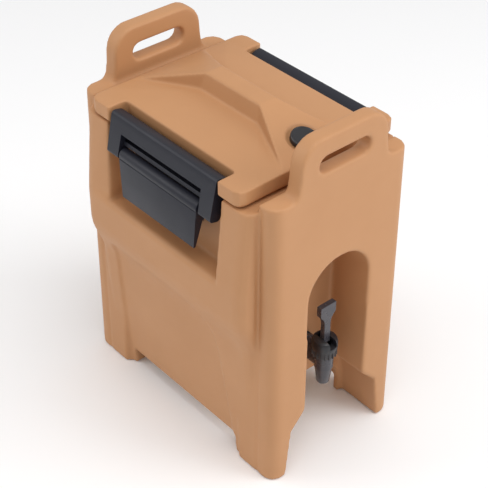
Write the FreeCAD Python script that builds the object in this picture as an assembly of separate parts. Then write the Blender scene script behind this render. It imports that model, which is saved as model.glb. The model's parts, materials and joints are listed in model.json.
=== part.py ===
"""Insulated beverage server with a double-wall body, a faucet alcove, a lift-off lid and two side latches.

Millimetres. Origin at the centre of the footprint on the floor, +Z up.
The faucet end is towards -Y and the latches are on -X and +X.
"""
import FreeCAD, Part
import math
import os

V = FreeCAD.Vector

# ---------------------------------------------------------------- driving sizes
BODY_LENGTH = 296.0          # trunk along Y, without the end panels
RIM_WIDTH = 232.0            # trunk along X at the rim
LIP_WIDTH = 252.0            # trunk along X at the latch recess lip, its widest place
WAIST_WIDTH = 218.0          # trunk along X below the lip bulge
FOOT_WIDTH = 196.0           # trunk along X at the floor
RIM_HEIGHT = 390.0           # top of the body rim
LIP_HEIGHT = 284.0           # top of the latch recess lip
BULGE_BOTTOM = 240.0         # where the lip bulge starts to tuck in
WAIST_HEIGHT = 180.0         # where the tuck ends
TRUNK_CORNER = 16.0          # vertical corner radius of the trunk

END_PANEL_WIDTH = 206.0      # front and rear panels along X
END_PANEL_THICK = 23.0       # how far each end panel stands out of the trunk at the rim
END_FLARE = 6.0              # how much further each end stands out at the floor
END_PANEL_CORNER = 17.0
SHOULDER_RISE = 12.0         # shoulder of the end panel above the rim

HANDLE_BASE_WIDTH = 134.0
HANDLE_TOP_WIDTH = 124.0
HANDLE_THICK = 21.0
HANDLE_HEIGHT = 65.0         # handle top above the shoulder
HANDLE_CORNER = 27.0
HANDLE_ROOT = 10.0           # handle plate below the rim, inside the panel
HANDLE_EDGE = 4.0            # rounding of the handle's long edges
SLOT_WIDTH = 76.0
SLOT_HEIGHT = 21.0
SLOT_BELOW_TOP = 35.0        # handle top down to the middle of the slot

SKIN = 4.0                   # moulded wall of the body and lid
BASE_RISE = 26.0             # underside above the floor, between the feet
FOOT_LENGTH = 44.0           # each foot along Y, measured in from the trunk end
TUNNEL_HALF_WIDTH = 72.0     # arched hollow under the tank, open to the alcove
TUNNEL_SPRING = 18.0
TUNNEL_TOP = 72.0
TUNNEL_REAR_WALL = 28.0
SIDE_PANEL_DEPTH = 3.0       # inset of the panel between the side legs
SIDE_PANEL_RISE = 28.0       # inset's top above the waist
SIDE_PANEL_KNEE = 26.0       # its sloping top corners, in height
SIDE_PANEL_LEG_GAP = 2.0     # foot to the inset's edge
SIDE_PANEL_FRONT_RUN = 42.0  # length of the front top corner
SIDE_PANEL_REAR_RUN = 12.0
SIDE_PANEL_LEAN = 8.0

RECESS_HALF_LENGTH = 101.0   # latch recess along Y
RECESS_WALL_X = 91.4         # recess back wall from the centre plane, at the rim
RECESS_WALL_LEAN = 6.0       # the same wall stands this much further out at the recess floor

ARCH_HALF_WIDTH = 48.0       # alcove for the faucet
ARCH_TOP = 298.0
ARCH_DEPTH = 58.0            # from the front panel to the alcove's back wall
FLARE_TOP = 90.0             # below this height the alcove opens out
FLARE_KNEE = 66.0
FLARE_KNEE_HALF_WIDTH = 71.0
FLARE_FOOT_HALF_WIDTH = 79.0

TANK_HALF_WIDTH = 70.0
TANK_FLOOR = 112.0
TANK_WALL = 3.5
TANK_REAR_GAP = 34.0         # trunk end to the tank cavity, at the back and above the alcove
TANK_FRONT_GAP = 26.0        # alcove back wall to the tank cavity
TANK_CORNER = 18.0
TANK_STEP_RISE = 14.0        # tank's upper step above the alcove top

LID_GAP = 1.0                # parting line between lid and body rim
LID_WIDTH = 234.0
LID_LENGTH = 264.0
LID_EDGE = 22.0              # lid height at its edge
LID_CORNER = 10.0
RELIEF_RISE = 29.0           # ridge above the lid's edge height
FIELD_RISE = 7.0             # side field above the edge, at the foot of the ridge wall
RIDGE_HALF_WIDTH = 13.0
RIDGE_HALF_LENGTH = 46.0
RIDGE_WALL_RUN = 5.0
CREASE_END_X = 54.0
NOTCH_WALL_X = 91.0
NOTCH_HALF_LENGTH = 97.0
PLUG_CLEARANCE = 1.0
PLUG_DEPTH = 22.0
PLUG_TO_GASKET = 8.0
GASKET_WIDTH = 4.0
GASKET_HEIGHT = 2.5
GASKET_REST_GAP = 0.2

VENT_RADIUS = 16.0
VENT_THICK = 6.0
VENT_RECESS_CLEARANCE = 4.0
VENT_RECESS_DEPTH = 4.5
VENT_STEM_RADIUS = 5.5
VENT_HOLE_RADIUS = 6.2
VENT_STEM_LENGTH = 20.0
VENT_FROM_EDGE = 26.0        # vent centre in from the lid's front edge
VENT_SEAL_WIRE = 0.9

RUN_CLEARANCE = 0.05         # radial clearance of pins in moving bores
MOVE_GAP = 0.4               # gap between moving pieces that only pass each other

ROD_X = 107.0
ROD_ABOVE_RIM = 6.0
ROD_RADIUS = 2.5
ROD_SEAT = 9.0               # how deep each rod end goes into the lid
HOOD_RADIUS = 13.0
HOOD_WALL = 3.5
FRAME_FRONT_X = 117.0
FRAME_HALF_LENGTH = 93.0
FRAME_WINDOW_HALF = 71.0
LATCH_LEAN = 12.0            # degrees that the closed frame leans out at its foot
WINDOW_TOP_DROP = 8.5        # bottom edge of the frame's top bar below the rod
FRAME_WEB_DROP = 18.0
FRAME_END_WALL = 8.0         # closed ends of the hollow top bar
LEG_WALL = 5.0               # side walls of the hollow legs
FRAME_LEG_DEPTH = 15.0
LEG_BELOW_PIN = 7.0
PIN_OUT = 3.0                # pin outside the rod, before the frame leans
PIN_BELOW_ROD = 33.5         # before the frame leans
PIN_RADIUS = 2.0
PIN_REACH = 7.0              # pin length inside the lever
PIN_SEAT = 10.0              # pin length inside the frame leg
BARREL_RADIUS = 8.0
LEVER_SIDE_GAP = 1.5
LEVER_DROP = 54.0            # lever tail below its pin
LEVER_TAIL_OUT = 1.0         # tail tip outside the barrel's front
LEVER_TAIL_THICK = 4.0
LEVER_TAPER = 4.0
LEDGE_REACH = 12.0           # keeper ledge out of the recess wall
LEDGE_HEIGHT = 5.0
LEDGE_HALF_LENGTH = 58.0
LEDGE_SLOPE = 58.0           # underside of the ledge, degrees
NOSE_BITE = 3.0              # lever nose under the ledge
NOSE_BELOW_PIN = 1.0         # top of the nose tip below the pin
NOSE_THICK = 3.0

FAUCET_REACH = 41.0          # faucet axis out of the alcove's back wall
SHANK_ABOVE_TANK_FLOOR = 16.0
SHANK_RADIUS = 11.0
SHANK_BORE = 7.0
SHANK_HOLE_CLEARANCE = 0.4
SHANK_INSIDE = 11.0
NUT_ACROSS = 34.0
NUT_THICK = 8.0
WASHER_RADIUS = 17.0
WASHER_THICK = 3.0
COLLAR_THICK = 6.0
BARREL_HEIGHT = 18.0         # faucet barrel above the shank axis
FAUCET_BARREL_RADIUS = 12.0
FAUCET_BORE = 9.0
SPOUT_DROP = 33.0            # spout mouth below the shank axis
SPOUT_TOP_RADIUS = 11.0
SPOUT_MOUTH_RADIUS = 7.5
SPOUT_WALL = 2.0
SEAT_BELOW_AXIS = 10.0
BONNET_RADIUS = 16.0
BONNET_HEIGHT = 25.0
BONNET_WALL = 3.0
BONNET_SHANK_GAP = 1.0
BONNET_SLOT_HALF = 5.4
BONNET_SLOT_DROP = 4.5       # slot floor below the lever pin
TAP_EYE_RADIUS = 4.0         # round foot of the faucet lever, about its pin
TAP_STEM_GAP = 6.0           # lever eye to the top of the valve stem
LEVER_PIN_RADIUS = 1.5
LEVER_PIN_BELOW_TOP = 5.0
TAP_LEVER_HALF = 4.8
TAP_LEVER_RISE = 51.0        # lever top above the bonnet top
PADDLE_HALF_WIDTH = 12.0
PADDLE_HEIGHT = 14.0
PADDLE_THICK = 7.0
STEM_RADIUS = 2.6
CUP_RADIUS = 7.2
CUP_HEIGHT = 5.0
SPRING_WIRE = 0.6
SPRING_RADIUS = 5.4
SPRING_TURNS = 4
SPRING_SIDES = 10            # flats of the wire's cross-section
WASHER_INNER_THICK = 2.0

# ---------------------------------------------------------------- derived places
half_length = BODY_LENGTH / 2
front_y = -half_length - END_PANEL_THICK
rear_y = half_length + END_PANEL_THICK
handle_base = RIM_HEIGHT + SHOULDER_RISE
handle_top = handle_base + HANDLE_HEIGHT
alcove_y = front_y + ARCH_DEPTH
tank_front = alcove_y + TANK_FRONT_GAP
mouth_half = half_length - TANK_REAR_GAP
tank_step = ARCH_TOP + TANK_STEP_RISE
lid_bottom = RIM_HEIGHT + LID_GAP
lid_edge_top = lid_bottom + LID_EDGE
rod_z = RIM_HEIGHT + ROD_ABOVE_RIM
lean = math.radians(LATCH_LEAN)
pin_x = ROD_X + PIN_OUT * math.cos(lean) + PIN_BELOW_ROD * math.sin(lean)
pin_z = rod_z + PIN_OUT * math.sin(lean) - PIN_BELOW_ROD * math.cos(lean)
shank_z = TANK_FLOOR + SHANK_ABOVE_TANK_FLOOR
faucet_y = alcove_y - FAUCET_REACH
bonnet_base = shank_z + SHANK_RADIUS + BONNET_SHANK_GAP
bonnet_top = bonnet_base + BONNET_HEIGHT
tap_pin_z = bonnet_top - LEVER_PIN_BELOW_TOP
ledge_tip = RECESS_WALL_X + RECESS_WALL_LEAN * (RIM_HEIGHT - pin_z) / (RIM_HEIGHT - LIP_HEIGHT) + LEDGE_REACH
vent_slope = math.atan2(RELIEF_RISE, LID_LENGTH / 2 - RIDGE_HALF_LENGTH)
vent_y = -LID_LENGTH / 2 + VENT_FROM_EDGE
vent_z = lid_edge_top + RELIEF_RISE - (abs(vent_y) - RIDGE_HALF_LENGTH) * math.tan(vent_slope)
vent_axis = V(0, -math.sin(vent_slope), math.cos(vent_slope))
nodes = {}


# ---------------------------------------------------------------- helpers
def block(x0, x1, y0, y1, z0, z1):
    """Box between two corners."""
    return Part.makeBox(x1 - x0, y1 - y0, z1 - z0, V(x0, y0, z0))


def rounded_wire(hx, y0, y1, r, z):
    """Rectangle with round corners, level at height z."""
    k = r * math.sqrt(0.5)
    arcs = []
    near, far = y0 + r, y1 - r
    centres = ((hx - r, near, 1, -1), (hx - r, far, 1, 1), (-hx + r, far, -1, 1), (-hx + r, near, -1, -1))
    for cx, cy, sx, sy in centres:
        first, last = V(cx, cy + sy * r, z), V(cx + sx * r, cy, z)
        if sx == sy:
            first, last = last, first
        arcs.append(Part.Arc(first, V(cx + sx * k, cy + sy * k, z), last))
    edges = []
    for i, arc in enumerate(arcs):
        edges.append(arc.toShape())
        edges.append(Part.LineSegment(arc.EndPoint, arcs[(i + 1) % 4].StartPoint).toShape())
    return Part.Wire(edges)


def tower(levels):
    """Straight-sided solid through rounded rectangles given as (z, half width, y0, y1, radius)."""
    return Part.makeLoft([rounded_wire(hx, y0, y1, r, z) for z, hx, y0, y1, r in levels], True, True)


def prism_y(points, y0, y1):
    """Closed X-Z outline pushed along Y."""
    wire = Part.makePolygon([V(x, y0, z) for x, z in points] + [V(points[0][0], y0, points[0][1])])
    return Part.Face(wire).extrude(V(0, y1 - y0, 0))


def prism_x(points, x0, x1):
    """Closed Y-Z outline pushed along X."""
    wire = Part.makePolygon([V(x0, y, z) for y, z in points] + [V(x0, points[0][0], points[0][1])])
    return Part.Face(wire).extrude(V(x1 - x0, 0, 0))


def rod_y(x, z, r, y0, y1):
    """Round bar along Y."""
    return Part.makeCylinder(r, y1 - y0, V(x, y0, z), V(0, 1, 0))


def rod_x(y, z, r, x0, x1):
    """Round bar along X."""
    return Part.makeCylinder(r, x1 - x0, V(x0, y, z), V(1, 0, 0))


def rod_z_axis(x, y, r, z0, z1):
    """Round bar along Z."""
    return Part.makeCylinder(r, z1 - z0, V(x, y, z0))


def faces_solid(faces):
    """Closed solid from lists of corner points."""
    plates = [Part.Face(Part.makePolygon(list(f) + [f[0]])) for f in faces]
    solid = Part.Solid(Part.makeShell(plates))
    if solid.Volume < 0:
        solid.reverse()
    return solid


def mirror_x(shape):
    """Copy on the other side of the centre plane."""
    return shape.mirror(V(0, 0, 0), V(1, 0, 0))


def round_edges(shape, radius, wanted):
    """Fillet the edges that the test picks out."""
    edges = [e for e in shape.Edges if wanted(e)]
    return shape.makeFillet(radius, edges) if edges else shape


# ---------------------------------------------------------------- body
def trunk(inset, z0, z1):
    """Trunk with its walls moved in by inset, cut between two heights."""
    y = half_length - inset
    r = TRUNK_CORNER - inset / 2
    rows = [(0, FOOT_WIDTH), (WAIST_HEIGHT, WAIST_WIDTH), (BULGE_BOTTOM, LIP_WIDTH), (LIP_HEIGHT, LIP_WIDTH),
            (RIM_HEIGHT, RIM_WIDTH)]
    solid = tower([(z, w / 2 - inset, -y, y, r) for z, w in rows])
    return solid.common(block(-LIP_WIDTH, LIP_WIDTH, -y - 1, y + 1, z0, z1))


def end_panel(side, inset, z0, z1):
    """Front (side -1) or rear (side 1) panel that stands out of the trunk."""
    hx = END_PANEL_WIDTH / 2 - inset
    rows = []
    for z in (0, handle_base):
        flare = END_FLARE * (1 - z / handle_base)
        outer = half_length + END_PANEL_THICK + flare - inset
        inner = half_length - TRUNK_CORNER - END_PANEL_CORNER
        y0, y1 = sorted((side * outer, side * inner))
        rows.append((z, hx, y0, y1, END_PANEL_CORNER - inset / 2))
    return tower(rows).common(block(-hx - 1, hx + 1, -400, 400, z0, z1))


def handle(side):
    """Carrying handle with its finger slot, rising from an end panel's shoulder."""
    root = SHOULDER_RISE + HANDLE_ROOT
    b, t, r = HANDLE_BASE_WIDTH / 2, HANDLE_TOP_WIDTH / 2, HANDLE_CORNER
    outer = side * (half_length + END_PANEL_THICK)
    inner = outer - side * HANDLE_THICK
    y0, y1 = sorted((outer, inner))
    plate = prism_y([(-b, handle_base - root), (b, handle_base - root), (b, handle_base), (t, handle_top),
                     (-t, handle_top), (-b, handle_base)], y0, y1)
    plate = round_edges(plate, r, lambda e: e.BoundBox.ZMin > handle_top - 0.1 and e.BoundBox.XLength < 0.1)
    half, rs = SLOT_WIDTH / 2, SLOT_HEIGHT / 2
    mid = handle_top - SLOT_BELOW_TOP
    slot = block(-half + rs, half - rs, y0 - 5, y1 + 5, mid - rs, mid + rs)
    for sx in (-1, 1):
        slot = slot.fuse(rod_y(sx * (half - rs), mid, rs, y0 - 5, y1 + 5))
    plate = plate.cut(slot)

    def long_edge(e):
        return e.BoundBox.ZMin > handle_base - 1 and e.BoundBox.YLength < 0.1

    return round_edges(plate, HANDLE_EDGE, long_edge)


def recess(side, grow):
    """Space for a latch, open outwards and upwards; grow moves its walls into the body."""
    wall = RECESS_WALL_X - grow
    foot = wall + RECESS_WALL_LEAN
    out = LIP_WIDTH / 2 + 20
    y = RECESS_HALF_LENGTH + grow
    low = LIP_HEIGHT - grow
    outline = [(-wall, handle_top), (-wall, RIM_HEIGHT), (-foot, low), (-out, low), (-out, handle_top)]
    solid = prism_y(outline, -y, y)
    if grow == 0:
        solid = solid.cut(keeper_ledge())
    return solid if side < 0 else mirror_x(solid)


def keeper_ledge():
    """Ledge on the recess wall that the latch lever's nose pulls up against."""
    root = RECESS_WALL_X - 1
    top = ledge_under(ledge_tip) + LEDGE_HEIGHT
    return prism_y([(-root, ledge_under(root)), (-ledge_tip, ledge_under(ledge_tip)), (-ledge_tip, top),
                    (-root, top + 2)], -LEDGE_HALF_LENGTH, LEDGE_HALF_LENGTH)


def ledge_under(x):
    """Height of the ledge's sloped underside at distance x from the centre plane."""
    return pin_z - NOSE_BELOW_PIN + (x - ledge_tip + NOSE_BITE) * math.tan(math.radians(LEDGE_SLOPE))


def alcove(grow):
    """Faucet alcove: an arch in the front panel that opens out at the legs."""
    w = ARCH_HALF_WIDTH + grow
    spring = ARCH_TOP - ARCH_HALF_WIDTH
    front = front_y - END_FLARE - 10
    back = alcove_y + grow
    arch = block(-w, w, front, back, -1, spring).fuse(rod_y(0, spring, w, front, back))
    knee, foot = FLARE_KNEE_HALF_WIDTH + grow, FLARE_FOOT_HALF_WIDTH + grow
    top = FLARE_TOP + grow
    outline = [(-foot, -1), (foot, -1), (knee, FLARE_KNEE), (w, top), (-w, top), (-knee, FLARE_KNEE)]
    splay = prism_y(outline, front, back)
    return arch.fuse(splay)


def base_hollow():
    """Open space between the four feet, with an arched tunnel that runs back from the alcove."""
    y = half_length - FOOT_LENGTH
    return block(-LIP_WIDTH, LIP_WIDTH, -y, y, -1, BASE_RISE).fuse(tunnel(0))


def tunnel(grow):
    """Arched hollow under the tank."""
    w = TUNNEL_HALF_WIDTH + grow
    rise = TUNNEL_TOP + grow - TUNNEL_SPRING
    steps = 8
    angles = [math.pi * i / steps for i in range(steps + 1)]
    crown = [(w * math.cos(a), TUNNEL_SPRING + rise * math.sin(a)) for a in angles]
    return prism_y([(w, -1)] + crown + [(-w, -1)], alcove_y - 1, rear_y - TUNNEL_REAR_WALL + grow)


def side_panel_cut(side):
    """Shallow inset between the front and rear side legs, following the trunk's slope."""
    top = WAIST_HEIGHT + SIDE_PANEL_RISE
    knee = top - SIDE_PANEL_KNEE
    front = -half_length + FOOT_LENGTH - SIDE_PANEL_LEG_GAP
    rear = -front - SIDE_PANEL_LEAN
    corner = front + SIDE_PANEL_FRONT_RUN - SIDE_PANEL_REAR_RUN
    outline = prism_x([(front, -1), (rear, -1), (rear + SIDE_PANEL_REAR_RUN, knee), (rear, top),
                       (front + SIDE_PANEL_FRONT_RUN, top), (corner, knee)], -LIP_WIDTH, 0)
    cut = outline.cut(trunk(SIDE_PANEL_DEPTH, -1, RIM_HEIGHT))
    return cut if side < 0 else mirror_x(cut)


def foam_void():
    """Space between the outer skin and everything inside it."""
    low = BASE_RISE + SKIN
    top = RIM_HEIGHT - SKIN
    solid = trunk(SKIN + SIDE_PANEL_DEPTH, low, top)
    for side in (-1, 1):
        solid = solid.fuse(end_panel(side, SKIN, low, top))
    for side in (-1, 1):
        solid = solid.cut(recess(side, SKIN))
    return solid.cut(alcove(SKIN)).cut(tunnel(SKIN))


def tank_space(grow):
    """Inside of the tank, or its outside when grow is the tank wall."""
    w, r = TANK_HALF_WIDTH + grow, TANK_CORNER
    main = tower([(TANK_FLOOR - grow, w, tank_front - grow, mouth_half + grow, r),
                  (RIM_HEIGHT, w, tank_front - grow, mouth_half + grow, r)])
    upper = tower([(tank_step - grow, w, -mouth_half - grow, tank_front + 3 * r, r),
                   (RIM_HEIGHT, w, -mouth_half - grow, tank_front + 3 * r, r)])
    return main.fuse(upper)


def shank_hole():
    """Clear hole for the faucet shank from the alcove into the tank."""
    return rod_y(0, shank_z, SHANK_RADIUS + SHANK_HOLE_CLEARANCE, alcove_y - 1, tank_front + 1)


def make_body():
    """Outer skin, tank and the foam between them."""
    outer = trunk(0, 0, RIM_HEIGHT)
    for side in (-1, 1):
        outer = outer.fuse(end_panel(side, 0, 0, handle_base)).fuse(handle(side))
    above_rim = block(-LID_WIDTH, LID_WIDTH, -half_length + 2, half_length - 2, RIM_HEIGHT, handle_top + 1)
    outer = outer.cut(above_rim)
    for side in (-1, 1):
        outer = outer.cut(recess(side, 0)).cut(side_panel_cut(side))
    outer = outer.cut(alcove(0)).cut(base_hollow())
    rim_slab = block(-LIP_WIDTH, LIP_WIDTH, front_y, rear_y, RIM_HEIGHT - SKIN - 1, RIM_HEIGHT + 1)
    mouth = tank_space(TANK_WALL).common(rim_slab)
    nodes["body_shell"] = outer.cut(foam_void()).cut(mouth).cut(shank_hole()).removeSplitter()
    tank = tank_space(TANK_WALL).cut(tank_space(0))
    nodes["tank_liner"] = tank.cut(shank_hole())
    nodes["body_foam"] = foam_void().cut(tank_space(TANK_WALL)).cut(shank_hole())


# ---------------------------------------------------------------- lid
def lid_relief(drop):
    """Ridge with two sloped end facets and four walls that fade out at the corners, all moved in by drop."""
    top = lid_edge_top + RELIEF_RISE - drop
    foot = lid_edge_top + FIELD_RISE - drop
    edge = lid_edge_top - drop
    low = lid_bottom + LID_EDGE / 2
    end_y = LID_LENGTH / 2 - 0.5 - drop
    ridge_x = RIDGE_HALF_WIDTH - drop
    wall_x = ridge_x + RIDGE_WALL_RUN
    corner_x = CREASE_END_X - drop
    wall_y = RIDGE_HALF_LENGTH + RIDGE_WALL_RUN
    side_x = NOTCH_WALL_X - 0.5 - drop
    side_y = NOTCH_HALF_LENGTH

    def q(x, y, z):
        return {(i, j): V(i * x, j * y, z) for i in (-1, 1) for j in (-1, 1)}

    ridge, corner = q(ridge_x, RIDGE_HALF_LENGTH, top), q(corner_x, end_y, edge)
    field, side = q(wall_x, wall_y, foot), q(side_x, side_y, edge)
    side_low, corner_low = q(side_x, side_y, low), q(corner_x, end_y, low)
    faces = [[ridge[-1, -1], ridge[1, -1], ridge[1, 1], ridge[-1, 1]],
             [corner_low[-1, -1], side_low[-1, -1], side_low[-1, 1], corner_low[-1, 1],
              corner_low[1, 1], side_low[1, 1], side_low[1, -1], corner_low[1, -1]]]
    for j in (-1, 1):
        faces.append([ridge[-1, j], ridge[1, j], corner[1, j], corner[-1, j]])
        faces.append([corner[-1, j], corner[1, j], corner_low[1, j], corner_low[-1, j]])
    for i in (-1, 1):
        faces.append([ridge[i, -1], ridge[i, 1], field[i, 1], field[i, -1]])
        faces.append([field[i, -1], field[i, 1], side[i, 1], side[i, -1]])
        faces.append([side[i, -1], side[i, 1], side_low[i, 1], side_low[i, -1]])
        for j in (-1, 1):
            faces.append([ridge[i, j], field[i, j], corner[i, j]])
            faces.append([field[i, j], side[i, j], corner[i, j]])
            faces.append([side[i, j], side_low[i, j], corner_low[i, j], corner[i, j]])
    return faces_solid(faces)


def vent_cylinder(radius, low, high):
    """Round bar on the vent axis, measured from the facet along that axis."""
    return Part.makeCylinder(radius, high - low, V(0, vent_y, vent_z) + vent_axis * low, vent_axis)


def make_lid():
    """Lid skin, its lower tray, foam, gasket and the two latch rods."""
    hx, hy = LID_WIDTH / 2, LID_LENGTH / 2
    plate = tower([(z, hx, -hy, hy, LID_CORNER) for z in (lid_bottom, lid_edge_top)])
    notch_y = NOTCH_HALF_LENGTH
    notch = block(-hx - 1, -NOTCH_WALL_X, -notch_y, notch_y, lid_bottom - 1, lid_edge_top + 1)
    plate = plate.cut(notch).cut(mirror_x(notch))
    plate = round_edges(plate, 4.0, lambda e: e.BoundBox.ZMin > lid_edge_top - 0.1)
    skin = plate.fuse(lid_relief(0))
    plug_x, plug_y = TANK_HALF_WIDTH - PLUG_CLEARANCE, mouth_half - PLUG_CLEARANCE
    plug_low = RIM_HEIGHT - PLUG_DEPTH
    tray_top = lid_bottom + SKIN
    tray_outer = tower([(z, plug_x, -plug_y, plug_y, TANK_CORNER) for z in (plug_low, tray_top)])
    inner_x, inner_y = plug_x - TANK_WALL, plug_y - TANK_WALL
    tray_levels = (plug_low + TANK_WALL, tray_top)
    tray_space = tower([(z, inner_x, -inner_y, inner_y, TANK_CORNER - TANK_WALL) for z in tray_levels])
    flat_x, flat_y = NOTCH_WALL_X - SKIN, hy - SKIN
    flat = tower([(z, flat_x, -flat_y, flat_y, LID_CORNER) for z in (tray_top, lid_edge_top - SKIN)])
    foam_top = flat.fuse(lid_relief(SKIN))
    gasket_in = (plug_x + PLUG_TO_GASKET, plug_y + PLUG_TO_GASKET)
    gasket_out = (gasket_in[0] + GASKET_WIDTH, gasket_in[1] + GASKET_WIDTH)
    ring_low = RIM_HEIGHT + GASKET_REST_GAP

    def ring(low, high):
        big = tower([(z, gasket_out[0], -gasket_out[1], gasket_out[1], TANK_CORNER) for z in (low, high)])
        small = tower([(z, gasket_in[0], -gasket_in[1], gasket_in[1], TANK_CORNER) for z in (low, high)])
        return big.cut(small)

    vent_hole = vent_cylinder(VENT_HOLE_RADIUS, -90, 20)
    vent_recess = vent_cylinder(VENT_RADIUS + VENT_RECESS_CLEARANCE, -VENT_RECESS_DEPTH, 20)
    vent_floor = vent_cylinder(VENT_RADIUS + VENT_RECESS_CLEARANCE + SKIN, -VENT_RECESS_DEPTH - SKIN, 20)
    rods = latch_rod()
    skin = skin.cut(foam_top).cut(tray_outer).fuse(vent_floor.common(plate.fuse(lid_relief(0))))
    skin = skin.cut(vent_recess).cut(vent_hole).cut(ring(ring_low, ring_low + GASKET_HEIGHT))
    nodes["lid_shell"] = skin.cut(rods).cut(mirror_x(rods)).removeSplitter()
    nodes["lid_tray"] = tray_outer.cut(tray_space).cut(vent_hole)
    nodes["lid_foam"] = foam_top.fuse(tray_space).cut(vent_floor).cut(vent_hole)
    nodes["lid_gasket"] = ring(ring_low, ring_low + GASKET_HEIGHT)
    nodes["latch_rod_left"] = rods
    nodes["latch_rod_right"] = mirror_x(rods)
    cap = vent_cylinder(VENT_RADIUS, -VENT_RECESS_DEPTH + MOVE_GAP, VENT_THICK - VENT_RECESS_DEPTH)
    cap = round_edges(cap, 1.5, lambda e: len(e.Vertexes) == 1 and e.BoundBox.ZMax > vent_z + 4)
    cap = cap.fuse(vent_cylinder(VENT_STEM_RADIUS, -VENT_STEM_LENGTH, -VENT_RECESS_DEPTH + 1))
    seat = -VENT_STEM_LENGTH + 3 * VENT_SEAL_WIRE
    seal = Part.makeTorus(VENT_STEM_RADIUS - VENT_SEAL_WIRE / 2, VENT_SEAL_WIRE,
                          V(0, vent_y, vent_z) + vent_axis * seat, vent_axis)
    nodes["vent_cap"] = cap.cut(seal)
    nodes["vent_cap_seal"] = seal


# ---------------------------------------------------------------- latches, made on the left and mirrored
def latch_rod():
    """Steel rod that carries a latch frame, held at both ends in the lid."""
    reach = NOTCH_HALF_LENGTH + ROD_SEAT
    return rod_y(-ROD_X, rod_z, ROD_RADIUS, -reach, reach)


def hood_outline(inset):
    """Cross-section of the frame's top bar as (x, z) points, walls moved in by inset."""
    r = HOOD_RADIUS - inset
    front = FRAME_FRONT_X - inset
    top_front = math.sqrt(r * r - (front - ROD_X) ** 2)
    points = [(-front, rod_z - WINDOW_TOP_DROP), (-front, rod_z + top_front)]
    start = math.degrees(math.atan2(top_front, -(front - ROD_X)))
    steps = 6
    for i in range(1, steps + 1):
        a = math.radians(start * (1 - i / steps))
        points.append((-ROD_X + r * math.cos(a), rod_z + r * math.sin(a)))
    return points + [(-ROD_X + r, rod_z - WINDOW_TOP_DROP)]


def latch_frame():
    """Inverted U: hooded top bar, back web and two hollow legs."""
    y = FRAME_HALF_LENGTH
    inside = y - FRAME_END_WALL
    bar = prism_y(hood_outline(0), -y, y).cut(prism_y(hood_outline(HOOD_WALL), -inside, inside))
    bar = bar.cut(block(-FRAME_FRONT_X + HOOD_WALL, -ROD_X + HOOD_RADIUS - HOOD_WALL, -inside, inside,
                        rod_z - WINDOW_TOP_DROP - 1, rod_z))
    web_x = ROD_X - HOOD_RADIUS + 0.8
    web = block(-web_x - HOOD_WALL, -web_x, -inside, inside, rod_z - FRAME_WEB_DROP, rod_z - 1)
    frame = bar.fuse(web)
    low = rod_z - PIN_BELOW_ROD - LEG_BELOW_PIN
    leg = block(-FRAME_FRONT_X, -FRAME_FRONT_X + FRAME_LEG_DEPTH, FRAME_WINDOW_HALF, y, low, rod_z)
    leg = round_edges(leg, 5.0, lambda e: e.BoundBox.ZMax < low + 0.1 and e.BoundBox.XLength > 1)
    pocket = block(-FRAME_FRONT_X + HOOD_WALL, 0, FRAME_WINDOW_HALF + LEG_WALL, y - LEG_WALL,
                   low + 2 * LEG_BELOW_PIN + 1, rod_z - WINDOW_TOP_DROP)
    leg = leg.cut(pocket)
    for shape in (leg, leg.mirror(V(0, 0, 0), V(0, 1, 0))):
        frame = frame.fuse(shape)
    frame = frame.cut(rod_y(-ROD_X, rod_z, ROD_RADIUS + RUN_CLEARANCE, -y - 1, y + 1)).removeSplitter()
    frame.rotate(V(-ROD_X, 0, rod_z), V(0, 1, 0), LATCH_LEAN)
    return frame.cut(lever_pins())


def lever_pins():
    """Two short pins between the frame legs and the lever, as separate solids."""
    inner = FRAME_WINDOW_HALF - PIN_REACH
    outer = FRAME_WINDOW_HALF + PIN_SEAT
    return Part.makeCompound([rod_y(-pin_x, pin_z, PIN_RADIUS, inner, outer),
                              rod_y(-pin_x, pin_z, PIN_RADIUS, -outer, -inner)])


def latch_lever():
    """Pull lever with a round barrel, a tapering tail and a nose that hooks under the keeper ledge."""
    y = FRAME_WINDOW_HALF - LEVER_SIDE_GAP
    front = pin_x + BARREL_RADIUS
    low = pin_z - LEVER_DROP
    tail_x = front + LEVER_TAIL_OUT
    tail = prism_y([(-front, pin_z), (-tail_x, low), (-tail_x + LEVER_TAIL_THICK, low),
                    (-pin_x + BARREL_RADIUS - 1.5, pin_z - 5), (-pin_x, pin_z + 2)], -y, y)
    for side in (-1, 1):
        tail = tail.cut(tail_taper(side, y, low))
    barrel = rod_y(-pin_x, pin_z, BARREL_RADIUS, -y, y)
    drop = MOVE_GAP / math.cos(math.radians(LEDGE_SLOPE))
    end = ledge_tip - NOSE_BITE
    shoulder = ledge_tip + 1.0
    tip = ledge_under(end) - drop
    nose = prism_y([(-pin_x, pin_z - 5), (-end - 1, tip - NOSE_THICK), (-end, tip - 1), (-end, tip),
                    (-shoulder, ledge_under(shoulder) - drop), (-pin_x, pin_z + BARREL_RADIUS - 0.5)],
                   -LEDGE_HALF_LENGTH + 2, LEDGE_HALF_LENGTH - 2)
    lever = tail.fuse(barrel).fuse(nose)
    hole = rod_y(-pin_x, pin_z, PIN_RADIUS + RUN_CLEARANCE, FRAME_WINDOW_HALF - PIN_REACH - MOVE_GAP, y + 1)
    return lever.cut(hole).cut(hole.mirror(V(0, 0, 0), V(0, 1, 0))).removeSplitter()


def tail_taper(side, y, low):
    """Wedge that narrows the lever's tail towards its end."""
    x0, x1 = -pin_x - BARREL_RADIUS - 5, -pin_x + BARREL_RADIUS + 5
    edge, tip = side * (y + 1), side * (y - LEVER_TAPER)
    return prism_x([(edge, pin_z - BARREL_RADIUS), (edge, low - 1), (tip, low - 1)], x0, x1)


def make_latches():
    """Both latches."""
    parts = {"latch_frame": latch_frame(), "latch_lever": latch_lever(), "lever_pins": lever_pins()}
    for name, shape in parts.items():
        nodes[name + "_left"] = shape
        nodes[name + "_right"] = mirror_x(shape)


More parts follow.
